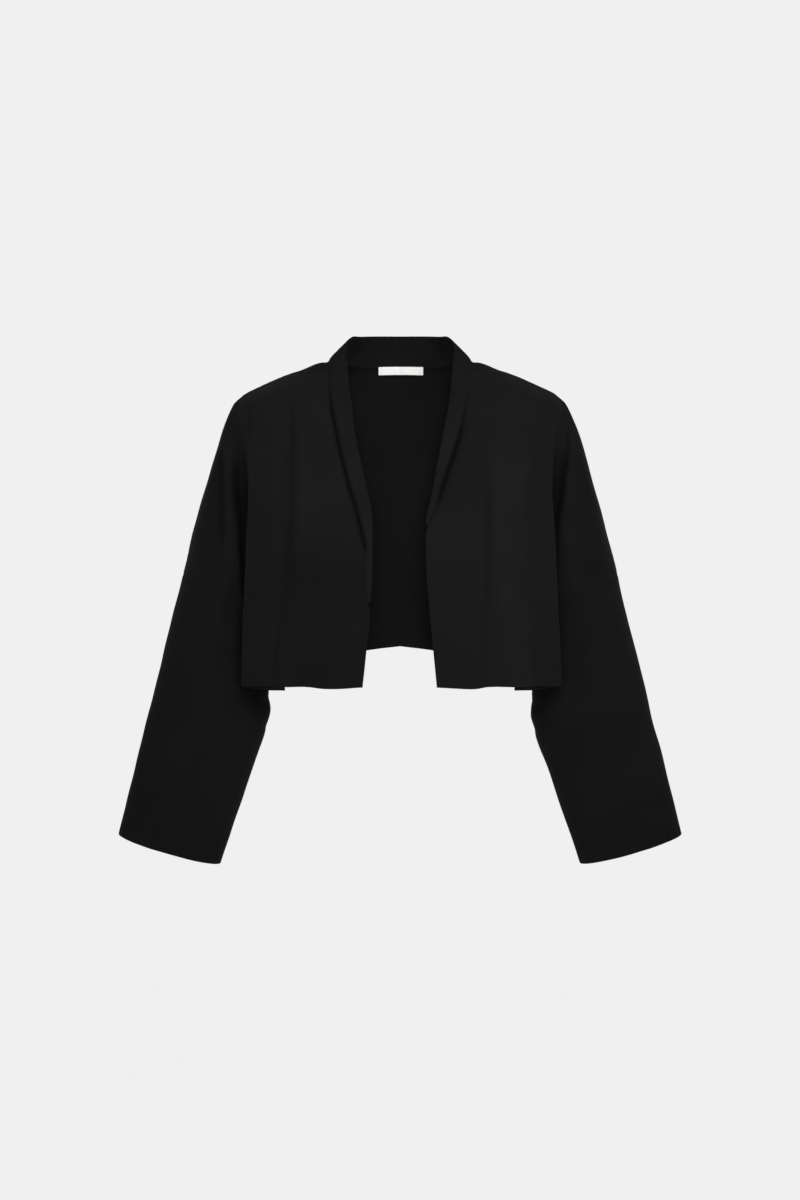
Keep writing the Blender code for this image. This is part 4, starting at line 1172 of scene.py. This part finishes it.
def white_cloth(white):
    """White woven cloth or thread with fine ribs."""
    nodes = Nodes(white.name)
    place = nodes.add("TexCoord", "Object", {})
    ribbed = {"Vector": place, "Scale": white.rib_scale, "Distortion": RIB_DISTORTION, "Detail": RIB_DETAIL}
    ribs = nodes.add("TexWave", "Fac", ribbed, bands_direction="Z")
    tone = nodes.add("TexNoise", "Fac", {"Vector": place, "Scale": WHITE_TONE_SCALE, "Detail": TONE_DETAIL})
    relief = {"Height": ribs, "Strength": RIB_STRENGTH, "Distance": RIB_HEIGHT}
    nodes.fill(nodes.surface, {
        "Base Color": nodes.product(white.colour, nodes.toned(tone, WHITE_TONES), "VectorMath"),
        "Normal": nodes.add("Bump", "Normal", relief),
        "Roughness": white.roughness,
        "Specular IOR Level": WHITE_SHINE,
    })
    return nodes.material


def studio():
    """A pale floor that curves up into a wall all round, which isn't part of the jacket."""
    nodes = Nodes("studio_paper")
    nodes.fill(nodes.surface, {
        "Base Color": (STAGE_BASE, STAGE_BASE, STAGE_BASE, 1.0),
        "Roughness": 1.0,
        "Specular IOR Level": 0.0,
        "Emission Color": WHITE_LIGHT,
        "Emission Strength": STAGE_GLOW,
    })
    turns = np.linspace(0.0, math.pi / 2, STAGE_BEND_STEPS + 1)
    inner = STAGE_RADIUS - STAGE_BEND
    profile = [(inner + STAGE_BEND * math.sin(t), FLOOR_Z + STAGE_BEND * (1 - math.cos(t))) for t in turns]
    profile.append((STAGE_RADIUS, STAGE_TOP))
    vertices = [(0.0, 0.0, FLOOR_Z)]
    for radius, height in profile:
        for k in range(STAGE_SIDES):
            angle = math.tau * k / STAGE_SIDES
            vertices.append((radius * math.cos(angle), radius * math.sin(angle), height))
    faces = []
    for k in range(STAGE_SIDES):
        after = (k + 1) % STAGE_SIDES
        faces.append((0, 1 + k, 1 + after))
        for j in range(len(profile) - 1):
            low, high = 1 + j * STAGE_SIDES, 1 + (j + 1) * STAGE_SIDES
            faces.append((low + k, high + k, high + after, low + after))
    show("studio_sweep", vertices, faces, nodes.material)


def add_light(light):
    """A soft light that looks from its place at its aim: a square, or a beam where it has a cone."""
    data = bpy.data.lights.new(light.name, "SPOT" if light.cone else "AREA")
    data.energy = light.power
    if light.cone:
        data.shadow_soft_size = light.size / 2
        data.spot_size = math.radians(light.cone)
        data.spot_blend = BEAM_BLEND
    else:
        data.size = light.size
    obj = bpy.data.objects.new(light.name, data)
    obj.location = light.place
    obj.rotation_euler = (Vector(light.aim) - Vector(light.place)).to_track_quat("-Z", "Y").to_euler()
    obj.visible_camera = False
    bpy.context.scene.collection.objects.link(obj)


def set_camera():
    """The camera at the photo's distance and height, level with the middle of the jacket."""
    camera = bpy.data.cameras.new("camera")
    camera.lens = LENS
    camera.sensor_width = SENSOR
    obj = bpy.data.objects.new("camera", camera)
    tilt = math.radians(CAMERA_TILT)
    obj.location = (0.0, -CAMERA_AWAY * math.cos(tilt), AIM_Z + CAMERA_AWAY * math.sin(tilt))
    obj.rotation_euler = (math.pi / 2 - tilt, 0.0, 0.0)
    bpy.context.scene.collection.objects.link(obj)
    bpy.context.scene.camera = obj


def main():
    """Dresses the jacket and sets its stage."""
    scene = bpy.context.scene
    black_pieces(black_crepe())
    label_tape(white_cloth(SATIN))
    label_stitches(white_cloth(THREAD))
    studio()
    for light in LIGHTS:
        add_light(light)
    world = bpy.data.worlds.new("studio")
    scene.world = world
    world.use_nodes = True
    background = world.node_tree.nodes["Background"]
    background.inputs["Color"].default_value = WHITE_LIGHT
    background.inputs["Strength"].default_value = WORLD_GLOW
    scene.view_settings.view_transform = "Standard"
    set_camera()


main()
